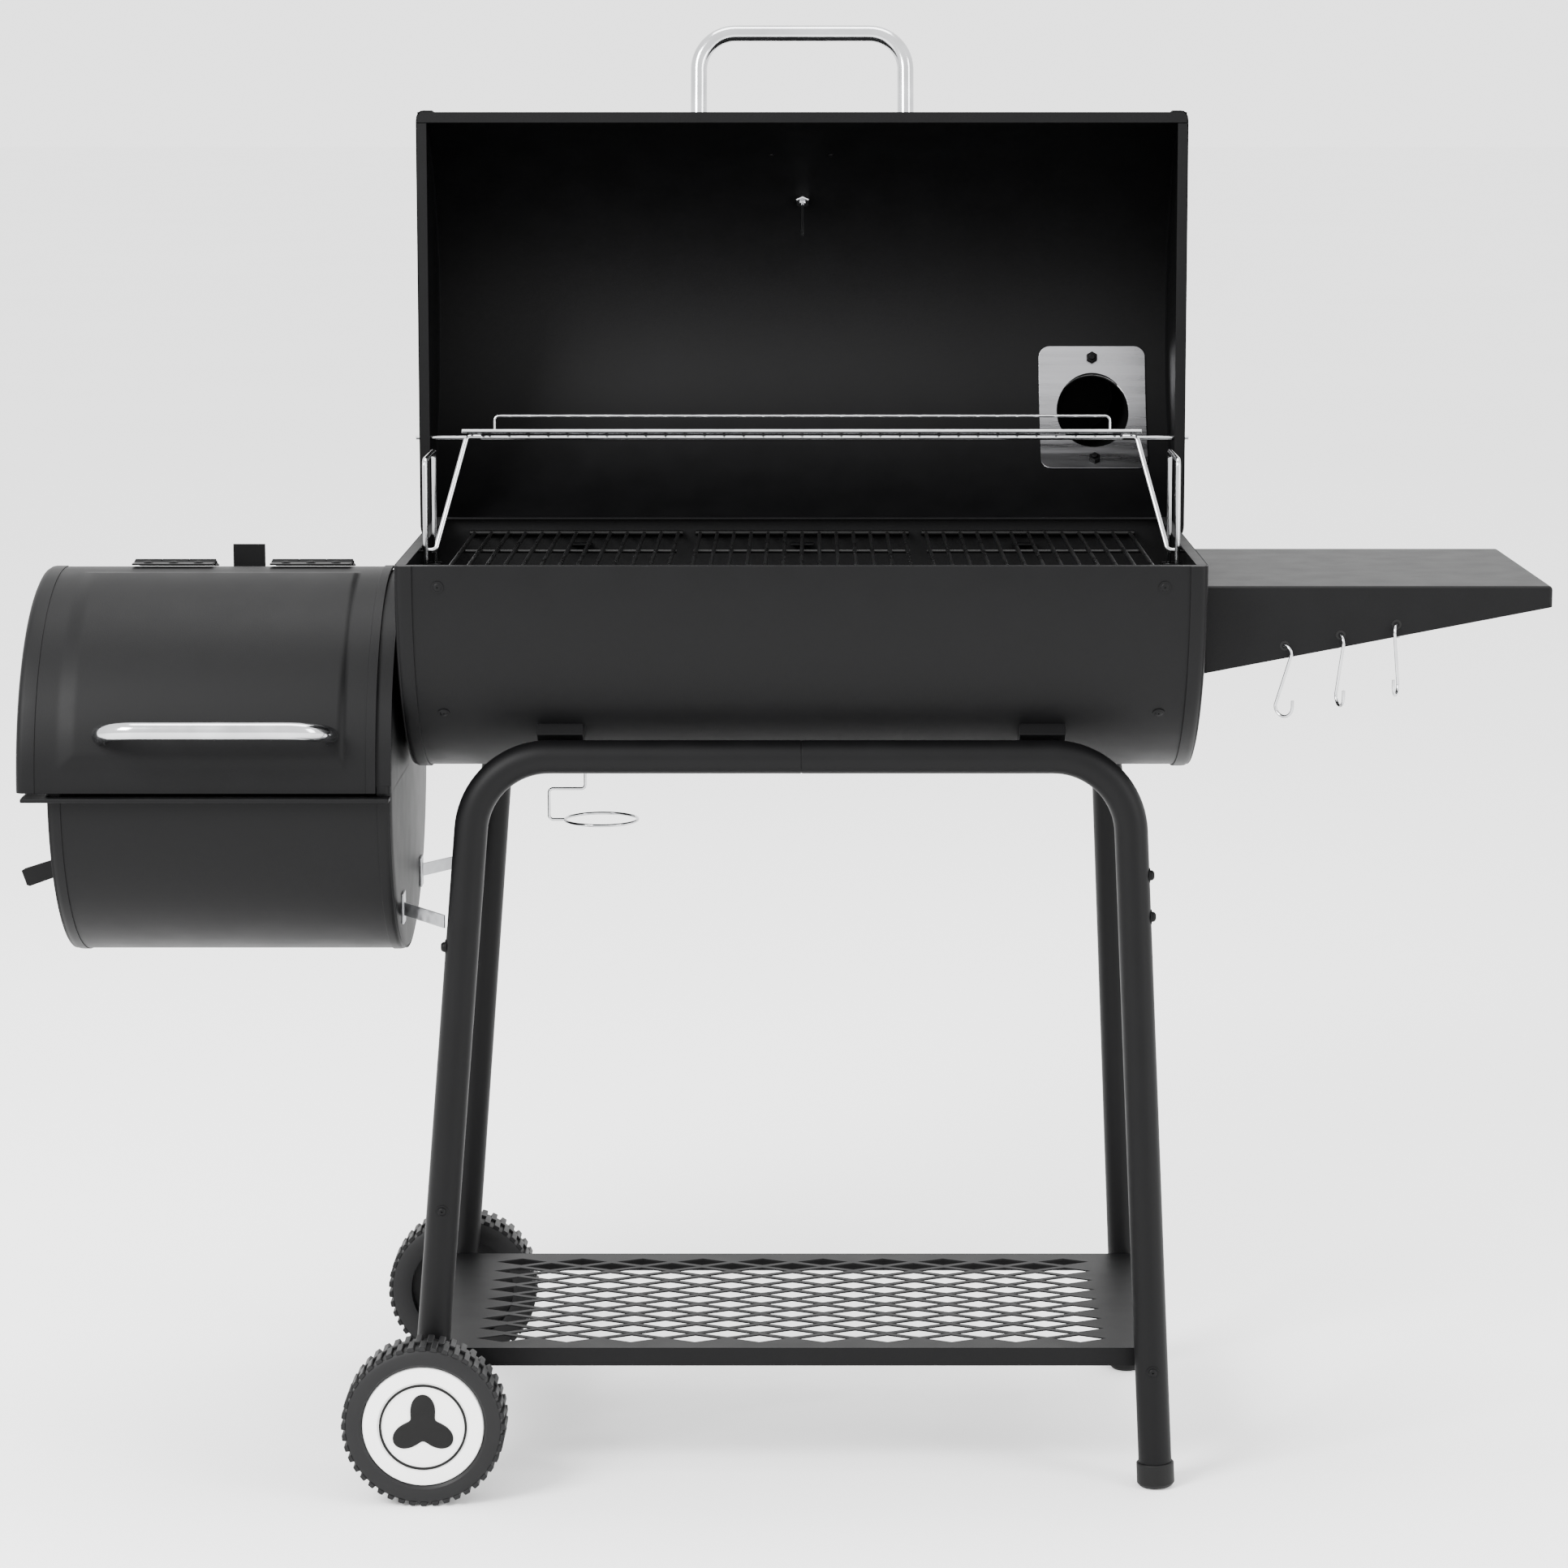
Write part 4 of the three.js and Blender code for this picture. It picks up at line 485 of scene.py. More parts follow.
# ---------------------------------------------------------------- barrel
def end_profile(radius, band):
    """Section of a stamped end: flat face, rounded shoulder and a band along the shell."""
    t = SHEET
    return [(0, 0), (radius - 11, 0), (radius - 6, 0.7), (radius - 2, 2.6), (radius - 0.4, 5.2),
            (radius, 8), (radius, band), (radius - t, band), (radius - t, 8.2), (radius - t - 0.5, 6),
            (radius - t - 2, 3.8), (radius - 7, 2.1), (radius - 11, t), (0, t)]


def lipped_section(axis_z, start):
    """A half shell with both long edges folded inwards; start is 180 for a bowl and 0 for a lid."""
    sign = 1 if start == 180 else -1
    edge = SHELL_RADIUS - LIP
    lip_angle = math.degrees(math.asin(SHEET / (SHELL_RADIUS - SHEET)))
    outer = arc(SHELL_RADIUS, start, start + 180, axis_z=axis_z)
    inner = arc(SHELL_RADIUS - SHEET, start + 180 - lip_angle, start + lip_angle, axis_z=axis_z)
    return [*outer, at(0, sign * edge, axis_z), at(0, sign * edge, axis_z - sign * SHEET),
            *inner, at(0, -sign * edge, axis_z - sign * SHEET), at(0, -sign * edge, axis_z)]


def duct_cutter():
    return Shape().rod(at(-450, 0, DUCT_Z), at(-330, 0, DUCT_Z), DUCT_RADIUS, 64, ease=0.1)


def barrel():
    reach = BARREL_END - SHEET - GAP
    shell = Shape().prism(lipped_section(BARREL_AXIS_Z, 180), -reach, reach)
    piece("bowl_shell", shell, "black_paint", "root", ["barrel_bowl_shell"], bevel=0.4)
    fittings = Shape()
    drop = math.hypot(BEAM_Y, BARREL_AXIS_Z - BEAM_Z) - TUBE_RADIUS - GAP
    tilt = math.atan2(BEAM_Y, BARREL_AXIS_Z - BEAM_Z)
    for x in (-SADDLE_X, SADDLE_X):
        for side in (-1, 1):
            turn = Matrix.Rotation(side * tilt, 3, "X")
            saddle = Shape().block(-22, 22, -14, 14, -drop, -SHELL_RADIUS + SHEET)
            fittings.add(saddle.moved(lambda p: turn @ p + at(x, 0, BARREL_AXIS_Z)))
    ledge_y = math.sqrt((SHELL_RADIUS - SHEET) ** 2 - (BARREL_AXIS_Z - GRATE_Z + 10) ** 2)
    for x in (-SADDLE_X, 0, SADDLE_X):
        for side in (-1, 1):
            y0, y1 = sorted((side * (ledge_y + 0.8), side * (ledge_y - 16)))
            fittings.block(x - 12, x + 12, y0, y1, GRATE_Z - 12, GRATE_Z - 10)
    piece("bowl_brackets", fittings, "black_paint", "root", bevel=0.6)
    for name, side in (("left", -1), ("right", 1)):
        barrel_end(name, side)


def barrel_end(name, side):
    end = Shape().dished(end_profile(BARREL_RADIUS, BAND), 180, 360, side * BARREL_END, side, BARREL_AXIS_Z)
    fold = SHELL_RADIUS - LIP - 2 * GAP
    face = side * BARREL_END
    end.block(*sorted((face, face - side * LIP)), -fold, fold, BARREL_AXIS_Z - SHEET, BARREL_AXIS_Z)
    for y in (-TRAY_HANDLE_HALF, TRAY_HANDLE_HALF):
        x0, x1 = sorted((side * (TRAY_HANDLE_X - 6), side * (BARREL_END - SHEET)))
        for offset in (-9, 9):
            end.block(x0, x1, y + offset - 3, y + offset + 3, 868, 872)
    cutters = [duct_cutter()] if side < 0 else []
    piece(f"bowl_end_{name}", end, "black_paint", "root", [f"barrel_end_{name}"], bevel=0.4, cutters=cutters)


# ---------------------------------------------------------------- barrel lid, drawn closed and then opened
CHIMNEY_Y = BARREL_RADIUS * math.cos(math.radians(CHIMNEY_ANGLE))
CHIMNEY_BASE_Z = LID_AXIS_Z + BARREL_RADIUS * math.sin(math.radians(CHIMNEY_ANGLE))
CHIMNEY_TOP_Z = CHIMNEY_BASE_Z + CHIMNEY_HEIGHT


def chimney_cutter(radius):
    return Shape().rod(at(CHIMNEY_X, CHIMNEY_Y, CHIMNEY_BASE_Z - 160),
                       at(CHIMNEY_X, CHIMNEY_Y, CHIMNEY_TOP_Z + 20), radius, 48, ease=0.1).moved(opened)


def handle_route(centre_x, axis_z, radius, reach, degrees):
    low, high = radius + 1, radius + reach
    left, right = centre_x - HANDLE_HALF, centre_x + HANDLE_HALF
    return [around(low, degrees, left, axis_z), around(high, degrees, left, axis_z),
            around(high, degrees, right, axis_z), around(low, degrees, right, axis_z)]


def lid():
    reach = LID_END - SHEET - GAP
    shell = Shape().prism(lipped_section(LID_AXIS_Z, 0), -reach, reach).moved(opened)
    piece("lid_shell", shell, "black_paint", "lid", ["barrel_lid_shell"], bevel=0.4,
          cutters=[chimney_cutter(CHIMNEY_RADIUS + 0.6)])
    fold = SHELL_RADIUS - LIP - 2 * GAP
    for name, side in (("left", -1), ("right", 1)):
        face = side * LID_END
        end = Shape().dished(end_profile(BARREL_RADIUS, BAND), 0, 180, face, side, LID_AXIS_Z)
        end.block(*sorted((face, face - side * LIP)), -fold, fold, LID_AXIS_Z, LID_AXIS_Z + SHEET)
        piece(f"lid_end_{name}", end.moved(opened), "black_paint", "lid", [f"barrel_lid_end_{name}"],
              bevel=0.4)
    handle = Shape().tube(rounded(handle_route(0, LID_AXIS_Z, BARREL_RADIUS, LID_HANDLE_REACH,
                                               LID_HANDLE_ANGLE), HANDLE_BEND, 14),
                          HANDLE_TUBE, 32).moved(opened)
    piece("lid_handle", handle, "chrome", "lid", ["barrel_lid_handle"])
    screws = Shape()
    for x in (-HANDLE_HALF, HANDLE_HALF):
        screw_head(screws, around(SHELL_RADIUS - SHEET, LID_HANDLE_ANGLE, x, LID_AXIS_Z),
                   -around(1, LID_HANDLE_ANGLE), 5)
    for x in (-33.0, 30.0):
        screw_head(screws, around(SHELL_RADIUS - SHEET, BADGE_SCREW_ANGLE, x, LID_AXIS_Z),
                   -around(1, BADGE_SCREW_ANGLE), 2.6, 2.4)
    piece("lid_screws", screws.moved(opened), "black_paint", "lid")


def chimney():
    drum = Shape().prism([*arc(BARREL_RADIUS + GAP, 0, 180, axis_z=LID_AXIS_Z)], 0, LID_END).moved(opened)
    pipe = Shape().rod(at(CHIMNEY_X, CHIMNEY_Y, LID_AXIS_Z + 100), at(CHIMNEY_X, CHIMNEY_Y, CHIMNEY_TOP_Z),
                       CHIMNEY_RADIUS, 64, ease=0.3)
    piece("chimney_tube", pipe.moved(opened), "black_paint", "lid", ["chimney_pipe"],
          cutters=[drum, chimney_cutter(CHIMNEY_RADIUS - SHEET)])
    saddle = curved_plate(CHIMNEY_FLANGE_HALF_X, BARREL_RADIUS * math.radians(CHIMNEY_FLANGE_ANGLE), 8,
                          BARREL_RADIUS + 1.7, SHEET, CHIMNEY_RADIUS + 0.2)
    piece("chimney_flange", saddle.moved(opened), "black_paint", "lid", bevel=0.4)
    ear_y = CHIMNEY_Y + CHIMNEY_RADIUS
    ear = Shape().block(CHIMNEY_X - 8, CHIMNEY_X + 8, ear_y - 1, ear_y + 14, CHIMNEY_TOP_Z - 3, CHIMNEY_TOP_Z)
    ear.rod(at(CHIMNEY_X, ear_y + 7, CHIMNEY_TOP_Z - 1), at(CHIMNEY_X, ear_y + 7, CHIMNEY_TOP_Z + 6), 3, 24)
    piece("chimney_ear", ear.moved(opened), "black_paint", "lid", bevel=0.5)
    plate = curved_plate(CHIMNEY_PLATE_HALF_X, CHIMNEY_PLATE_HALF_RUN, 12, SHELL_RADIUS - SHEET - 0.8, 1.2,
                         CHIMNEY_RADIUS - SHEET)
    piece("chimney_plate", plate.moved(opened), "bright_steel", "lid", ["chimney_inner_plate"], bevel=0.3)
    nuts = Shape()
    for sign in (-1, 1):
        degrees = CHIMNEY_ANGLE + sign * CHIMNEY_NUT_ANGLE
        nut(nuts, around(SHELL_RADIUS - SHEET - 2, degrees, CHIMNEY_X, LID_AXIS_Z), -around(1, degrees))
    piece("chimney_nuts", nuts.moved(opened), "black_paint", "lid", bevel=0.4)
    cap()


def curved_plate(half_x, half_run, corner, radius, thickness, bore):
    """A rounded sheet bent to the lid, with the hole that an upright pipe makes through it."""
    outline = with_short_sides(rounded_rectangle(half_x, half_run, corner, 6), 4.0)
    stretch = 1 / math.sin(math.radians(CHIMNEY_ANGLE))
    rows = []
    for depth in (0, thickness):
        skins = []
        for share in between(0.0, 1.0, 14):
            row = []
            for u, v in outline:
                reach = math.hypot(u, v)
                hole_u, hole_v = bore * u / reach, bore * stretch * v / reach
                run = hole_v + (v - hole_v) * share
                degrees = CHIMNEY_ANGLE + math.degrees(run / radius)
                x = CHIMNEY_X + hole_u + (u - hole_u) * share
                row.append(around(radius - depth, degrees, x, LID_AXIS_Z))
            skins.append(row)
        rows.extend(skins if depth == 0 else reversed(skins))
    return Shape().grid(rows, ring=True, loop=True)


def cap():
    z0 = CHIMNEY_TOP_Z + GAP
    pivot_y = CHIMNEY_Y + CHIMNEY_RADIUS + 7
    disc = Shape().turned([(0, 0), (46.4, 0), (47, 0.6), (47, 1.4), (46.4, 2), (0, 2)], at(0, 0, 1),
                          at(CHIMNEY_X, CHIMNEY_Y, z0), 96)
    ear = Shape().rod(at(CHIMNEY_X, pivot_y, z0), at(CHIMNEY_X, pivot_y, z0 + 2), 10, 32, ease=0.4)
    tab = Shape().block(CHIMNEY_X - 9, CHIMNEY_X + 9, CHIMNEY_Y - 65, CHIMNEY_Y - 44, z0, z0 + 2)
    piece("chimney_cap_disc", disc.add(ear).add(tab).moved(opened), "black_paint", "chimney_cap",
          ["chimney_cap"], bevel=0.4)


# ---------------------------------------------------------------- thermometer
def thermometer():
    direction = around(1, DIAL_ANGLE)
    seat = around(BARREL_RADIUS + 0.6, DIAL_ANGLE, 0, LID_AXIS_Z)
    r, d = DIAL_RADIUS, DIAL_DEPTH
    case = Shape().turned([(0, 0), (r - 4, 0), (r - 1.4, 1), (r - 0.3, 3), (r - 0.3, d - 3), (r, d - 2),
                           (r - 0.3, d - 0.5), (r - 1.2, d), (r - 2.2, d - 0.5), (r - 2.4, d - 1.5),
                           (r - 2.4, d - 6), (0, d - 6)], direction, seat, 96)
    piece("dial_case", case.moved(opened), "chrome", "lid", ["thermometer_case"])
    face = Shape().turned([(0, d - 6), (r - 2.6, d - 6), (r - 2.6, d - 5.8), (0, d - 5.8)],
                          direction, seat, 64)
    piece("dial_face", face.moved(opened), "hub_cap_white", "lid")
    up = around(1, DIAL_ANGLE - 90)
    marks = Shape()
    for index, degrees in enumerate(between(-45.0, 225.0, 20)):
        a = math.radians(degrees)
        ray = at(1, 0, 0) * math.cos(a) + up * math.sin(a)
        start = seat + direction * (d - 5.75)
        length = 4.5 if index % 5 == 0 else 2.5
        marks.rod(start + ray * (r - 5 - length), start + ray * (r - 5), 0.35, 6)
    piece("dial_marks", marks.moved(opened), "black_enamel", "lid")
    pointer = Shape().turned([(0, d - 5.6), (3, d - 5.6), (3, d - 3.8), (2.4, d - 3.4), (0, d - 3.4)],
                             direction, seat, 24)
    spin = Matrix((at(1, 0, 0), -up, direction)).transposed()
    needle = Shape().block(-0.9, 0.9, -6, r - 8, d - 4.8, d - 4.0).moved(lambda p: spin @ p + seat)
    piece("dial_pointer", pointer.add(needle).moved(opened), "pointer_red", "thermometer_pointer",
          ["thermometer_pointer"])
    glass = Shape().turned([(0, d - 2), (r - 2.9, d - 2), (r - 2.9, d - 0.9), (0, d - 0.5)],
                           direction, seat, 64)
    piece("dial_lens", glass.moved(opened), "dial_glass", "lid", ["thermometer_lens"])
    top = -(2 * SHEET + 3 * GAP) - 1
    probe = Shape().turned([(0, -PROBE_LENGTH), (1.2, -PROBE_LENGTH), (2, -PROBE_LENGTH + 2), (2, top - 6),
                            (3.2, top - 6), (3.2, -0.3), (0, -0.3)], direction, seat, 24)
    nut(probe, seat + direction * top, -direction, 8, 6)
    piece("dial_probe", probe.moved(opened), "chrome", "lid", ["thermometer_probe"])


# ---------------------------------------------------------------- warming rack
def rack():
    depth = math.hypot(HINGE_Y, LEG_PIVOT_Z - HINGE_Z)
    tip = Matrix.Rotation(math.atan2(-(LEG_PIVOT_Z - HINGE_Z), HINGE_Y), 3, "X")
    place = at(0, ROD_RUN, LEG_PIVOT_Z + ROD_RISE)
    lift = WIRE + 0.8
    front, back = -10, depth + 2
    half_run = (RACK_RODS - 1) / 2 * RACK_PITCH
    wires = Shape()
    for i in range(RACK_RODS):
        x = -half_run + i * RACK_PITCH
        wires.rod(at(x, front, lift), at(x, back, lift), 1.4, 12)
    for y in (front, back):
        wires.rod(at(-RACK_HALF_WIDTH, y, lift), at(RACK_HALF_WIDTH, y, lift), 2, 16)
    for side in (-1, 1):
        x = side * (RACK_HALF_WIDTH - 2)
        wires.rod(at(x, front, lift), at(x, back, lift), 2, 16)
    fence_x = half_run - RACK_PITCH / 4
    fence = [at(-fence_x, back, lift), at(-fence_x, back, lift + RACK_FENCE),
             at(fence_x, back, lift + RACK_FENCE), at(fence_x, back, lift)]
    wires.tube(rounded(fence, 5, 6), 1.5, 16)
    piece("rack_wires", wires.moved(lambda p: tip @ p + place), "chrome", "warming_rack", ["warming_rack"])
    y, z = ROD_CLOSED
    rod = Shape().rod(at(-LID_END - 5, y, z), at(LID_END + 5, y, z), WIRE / 2, 16).moved(opened)
    piece("rack_pivot_rod", rod, "chrome", "lid", ["warming_rack_rod"])
    for name, side in (("left", -1), ("right", 1)):
        corners = [at(side * (BARREL_END - SHEET - 1), 0, LEG_PIVOT_Z),
                   at(side * LEG_PIVOT_X, 0, LEG_PIVOT_Z),
                   at(side * LEG_TOP_X, 0, LEG_PIVOT_Z) + at(0, ROD_RUN, ROD_RISE),
                   at(side * (LEG_TOP_X - 14), 0, LEG_PIVOT_Z) + at(0, ROD_RUN, ROD_RISE)]
        piece(f"rack_leg_wire_{name}", bent(corners, 5, WIRE / 2, 16), "chrome", "rack_legs",
              [f"rack_leg_{name}"])


# ---------------------------------------------------------------- cooking grates and charcoal tray
def grates():
    width = 2 * GRATE_HALF / 3
    deep = math.sqrt((SHELL_RADIUS - SHEET) ** 2 - (BARREL_AXIS_Z - GRATE_Z + 8) ** 2) - 4
    half_run = (GRATE_RODS - 1) / 2 * GRATE_PITCH
    for index, name in enumerate(("left", "middle", "right")):
        middle = -GRATE_HALF + (index + 0.5) * width
        wires = Shape()
        for i in range(GRATE_RODS):
            x = middle - half_run + i * GRATE_PITCH
            wires.rod(at(x, -deep, GRATE_Z), at(x, deep, GRATE_Z), 2, 12)
        for y in (-deep, deep):
            wires.rod(at(middle - half_run - 5, y, GRATE_Z), at(middle + half_run + 5, y, GRATE_Z), 3, 16)
        for y in (-deep / 3, deep / 3):
            wires.rod(at(middle - half_run - 3, y, GRATE_Z - 3), at(middle + half_run + 3, y, GRATE_Z - 3),
                      1.8, 12)
        piece(f"grate_{name}", wires, "black_enamel", "root", [f"cooking_grate_{name}"])


def tray():
    x, y, z0, z1 = TRAY_X, TRAY_Y, TRAY_Z, TRAY_Z + TRAY_RIM
    corner = 8
    rows = []
    for inset, z in ((0, z1), (0, z0 + 3), (1, z0 + 0.8), (3, z0)):
        rows.append([at(u, v, z) for u, v in rounded_rectangle(x - inset, y - inset, corner)])
    pan = Shape().grid(rows, ring=True)
    pan.faces.append(list(range(len(pan.points) - len(rows[0]), len(pan.points))))
    slots = Shape()
    for i in range(-5, 6):
        for side in (-1, 1):
            slots.block(i * 60 - 8, i * 60 + 8, side * 62 - 44, side * 62 + 44, z0 - 3, z0 + 6)
    made = piece("charcoal_pan", pan, "black_enamel", "charcoal_tray", ["charcoal_tray"])
    thick = made.modifiers.new("thick", "SOLIDIFY")
    thick.thickness = SHEET * MM
    made.data = as_shown(made)
    made.modifiers.clear()
    carve(made, [slots])
    low = z0 + 8
    for name, side in (("left", -1), ("right", 1)):
        inner, outer, half = side * (x + WIRE / 2 + 0.6), side * TRAY_HANDLE_X, TRAY_HANDLE_HALF
        corners = [at(inner, -half, low), at(outer, -half, low), at(outer, -half, TRAY_HANDLE_TOP),
                   at(outer, half, TRAY_HANDLE_TOP), at(outer, half, low), at(inner, half, low)]
        piece(f"tray_lifter_{name}", bent(corners, 7, WIRE / 2, 16), "chrome", "charcoal_tray",
              [f"tray_handle_{name}"])


# ---------------------------------------------------------------- firebox
def embossed_lid():
    """The curved lid with a raised panel; two lines of the panel's edge show as a soft step."""
    outer_x, inner_x = (-706.0, -432.0), (-687.0, -438.0)
    outer_run, inner_run = (97.0, 174.0), (101.0, 169.0)

    def ease(value, outside, inside):
        share = min(max((value - outside) / (inside - outside), 0.0), 1.0)
        return share * share * (3 - 2 * share)

    def lift(x, degrees):
        across = min(ease(x, outer_x[0], inner_x[0]), ease(x, outer_x[1], inner_x[1]))
        along = min(ease(degrees, outer_run[0], inner_run[0]), ease(degrees, outer_run[1], inner_run[1]))
        return PANEL_RISE * min(across, along)

    columns = between(FIRE_LID_LEFT + 8, FIRE_LID_RIGHT, 170)
    turns = between(SPLIT_ANGLE, 180.0, 120)
    rows = [[around(FIRE_LID_RADIUS + lift(x, degrees), degrees, x, FIREBOX_AXIS_Z) for x in columns]
            for degrees in turns]
    return Shape().grid(rows)


def fire_lid():
    piece("fire_lid_panel", embossed_lid(), "black_paint", "firebox_lid", ["firebox_lid"], skin=SHEET)
    end = Shape().dished(end_profile(FIRE_LID_RADIUS + 0.8, 19), SPLIT_ANGLE, 180, FIRE_LID_LEFT, -1,
                         FIREBOX_AXIS_Z)
    piece("fire_lid_end", end, "black_paint", "firebox_lid", bevel=0.3)
    rim = Shape().curved(FIRE_LID_RADIUS + 1.2, 1.2, SPLIT_ANGLE, 180, FIRE_LID_RIGHT - 9, FIRE_LID_RIGHT,
                         FIREBOX_AXIS_Z)
    piece("fire_lid_rim", rim, "black_paint", "firebox_lid", bevel=0.4)
    route = handle_route((FIRE_LID_LEFT + FIRE_LID_RIGHT) / 2 + 20, FIREBOX_AXIS_Z, FIRE_LID_RADIUS,
                         FIRE_HANDLE_REACH, FIRE_HANDLE_ANGLE)
    piece("fire_lid_bar", Shape().tube(rounded(route, HANDLE_BEND, 14), HANDLE_TUBE, 32), "chrome",
          "firebox_lid", ["firebox_lid_handle"])


def damper_bores(x0, x1):
    cutters = []
    for i in range(3):
        place = around(DAMPER_HOLE_CIRCLE, 90 + i * 120, 0, DAMPER_Z)
        cutters.append(Shape().rod(place + at(x0, 0, 0), place + at(x1, 0, 0), DAMPER_HOLE, 48, ease=0.1))
    return cutters


def firebox():
    rim = math.degrees(math.asin(4 / FIREBOX_RADIUS))
    bowl = Shape().curved(FIREBOX_RADIUS, SHEET, 180 + rim, 360 - rim, FIREBOX_LEFT + GAP,
                          FIREBOX_RIGHT - GAP, FIREBOX_AXIS_Z)
    piece("fire_bowl", bowl, "black_paint", "root", ["firebox_bowl_shell"], bevel=0.3)
    reach, hole, z1 = FIREBOX_RADIUS + 15, FIREBOX_RADIUS - SHEET - 0.6, FIREBOX_AXIS_Z - 4
    frame_x0, frame_x1 = FIRE_LID_LEFT + 6, FIREBOX_RIGHT
    flange = Shape()
    for y0, y1 in ((-reach, -hole), (hole, reach)):
        flange.block(frame_x0, frame_x1, y0, y1, z1 - 4, z1)
    flange.block(frame_x0, FIREBOX_LEFT - SHEET - GAP, -hole, hole, z1 - 4, z1)
    piece("fire_flange", flange, "black_paint", "root", bevel=1.2)
    hood = Shape().curved(HOOD_RADIUS, SHEET, 0, SPLIT_ANGLE - 4, FIREBOX_LEFT + GAP, FIREBOX_RIGHT - GAP,
                          FIREBOX_AXIS_Z)
    stop = around(HOOD_RADIUS, SPLIT_ANGLE - 14, 0, FIREBOX_AXIS_Z)
    centre = (FIREBOX_LEFT + FIREBOX_RIGHT) / 2
    hood.block(centre - 16, centre + 16, stop.y - 1, stop.y + 1, stop.z - 2, stop.z + 30)
    piece("fire_hood", hood, "black_paint", "root", ["firebox_hood"], bevel=0.4)
    for side, x in ((-1, FIREBOX_LEFT - SHEET), (1, FIREBOX_RIGHT + SHEET)):
        lower = Shape().dished(end_profile(FIREBOX_RADIUS + 1, 14), 180, 360, x, side, FIREBOX_AXIS_Z)
        upper = Shape().dished(end_profile(HOOD_RADIUS, 14), 0, 180, x, side, FIREBOX_AXIS_Z - 1)
        if side < 0:
            piece("fire_end_left", lower, "black_paint", "root", ["firebox_end_left"], bevel=0.3,
                  cutters=damper_bores(x - 4, x + 8))
            piece("fire_end_left_upper", upper, "black_paint", "root", bevel=0.3)
        else:
            inside, outside = DUCT_RADIUS, DUCT_RADIUS + 4
            collar = Shape().turned([(inside, 0), (outside, 0), (outside, 8), (inside, 8), (inside, 0)],
                                    at(1, 0, 0), at(FIREBOX_RIGHT + 0.5, 0, DUCT_Z), 64)
            piece("fire_end_right", lower, "black_paint", "root", ["firebox_end_right"], bevel=0.3,
                  cutters=[duct_cutter()])
            piece("fire_end_right_upper", upper, "black_paint", "root", bevel=0.3, cutters=[duct_cutter()])
            piece("fire_collar", collar, "black_paint", "root", bevel=0.3)
    seat = Shape().curved(HOOD_RADIUS, SHEET, SPLIT_ANGLE + 2, 178, FIRE_LID_RIGHT - 6, FIREBOX_RIGHT + SHEET,
                          FIREBOX_AXIS_Z)
    piece("fire_lid_seat", seat, "black_paint", "root", bevel=0.3)
    damper()
    fire_grate()


def damper():
    x1 = FIREBOX_LEFT - SHEET - GAP
    x0 = x1 - SHEET
    disc = Shape().rod(at(x0, 0, DAMPER_Z), at(x1, 0, DAMPER_Z), DAMPER_RADIUS, 96, ease=0.3)
    piece("damper_disc", disc, "black_paint", "firebox_damper", ["firebox_damper"], bevel=0.3,
          cutters=damper_bores(x0 - 4, x1 + 4))
    outline = [(x1, 4), (x0 - 8, 4), (x1 - 44, -7), (x1 - 48, -9.5), (x1 - 43, -24), (x1 - 40, -25),
               (x0 - 8, -14), (x1, -14)]
    y = -DAMPER_RADIUS + 2
    lever = Shape().grid([[at(x, y + d, DAMPER_Z + z) for x, z in outline] for d in (0, 2)],
                         ring=True, caps=True)
    piece("damper_lever", lever, "black_paint", "firebox_damper", bevel=0.5)
    pivot = screw_head(Shape(), at(x0, 0, DAMPER_Z), at(-1, 0, 0), 4.5, 3.2)
    piece("damper_pivot", pivot, "bright_steel", "root")


def fire_grate():
    z = FIREBOX_AXIS_Z - FIRE_GRATE_DROP
    deep = math.sqrt((FIREBOX_RADIUS - SHEET) ** 2 - (FIRE_GRATE_DROP + 8) ** 2) - 3
    x0, x1 = FIREBOX_LEFT + 8, FIREBOX_RIGHT - 8
    bars = Shape()
    for x in between(x0 + 8, x1 - 8, 10):
        bars.rod(at(x, -deep, z), at(x, deep, z), 3, 12)
    for y in (-deep, deep):
        bars.rod(at(x0, y, z), at(x1, y, z), 4, 16)
    piece("fire_grate_bars", bars, "black_enamel", "root", ["firebox_grate"])


def on_leg(leg, z):
    """The X and the Y, without its sign, of a leg's middle at a height."""
    corner, foot, foot_z = leg
    share = (BEAM_Z - z) / (BEAM_Z - foot_z)
    return corner + (foot - corner) * share, BEAM_Y + (FOOT_Y - BEAM_Y) * share


def braces():
    z = FIREBOX_AXIS_Z - BRACE_DROP
    leg_x, leg_y = on_leg(LEFT_LEG, z)
    for name, side in (("front", -1), ("rear", 1)):
        start = at(FIREBOX_RIGHT + SHEET + GAP + 0.8, side * 100, z)
        run = at(leg_x - TUBE_RADIUS - 3, side * (leg_y - 2), z) - start
        turn = Matrix.Rotation(math.atan2(run.y, run.x), 3, "Z")
        strap = Shape().block(0, run.length, -1, 1, -6.5, 6.5).moved(lambda p: turn @ p + start)
        x = start.x - 0.8
        strap.block(x, x + 2, *sorted((side * 84, side * 104)), z - 15, z + 15)
        piece(f"strap_{name}", strap, "galvanised_steel", "root", [f"firebox_brace_{name}"], bevel=0.5)


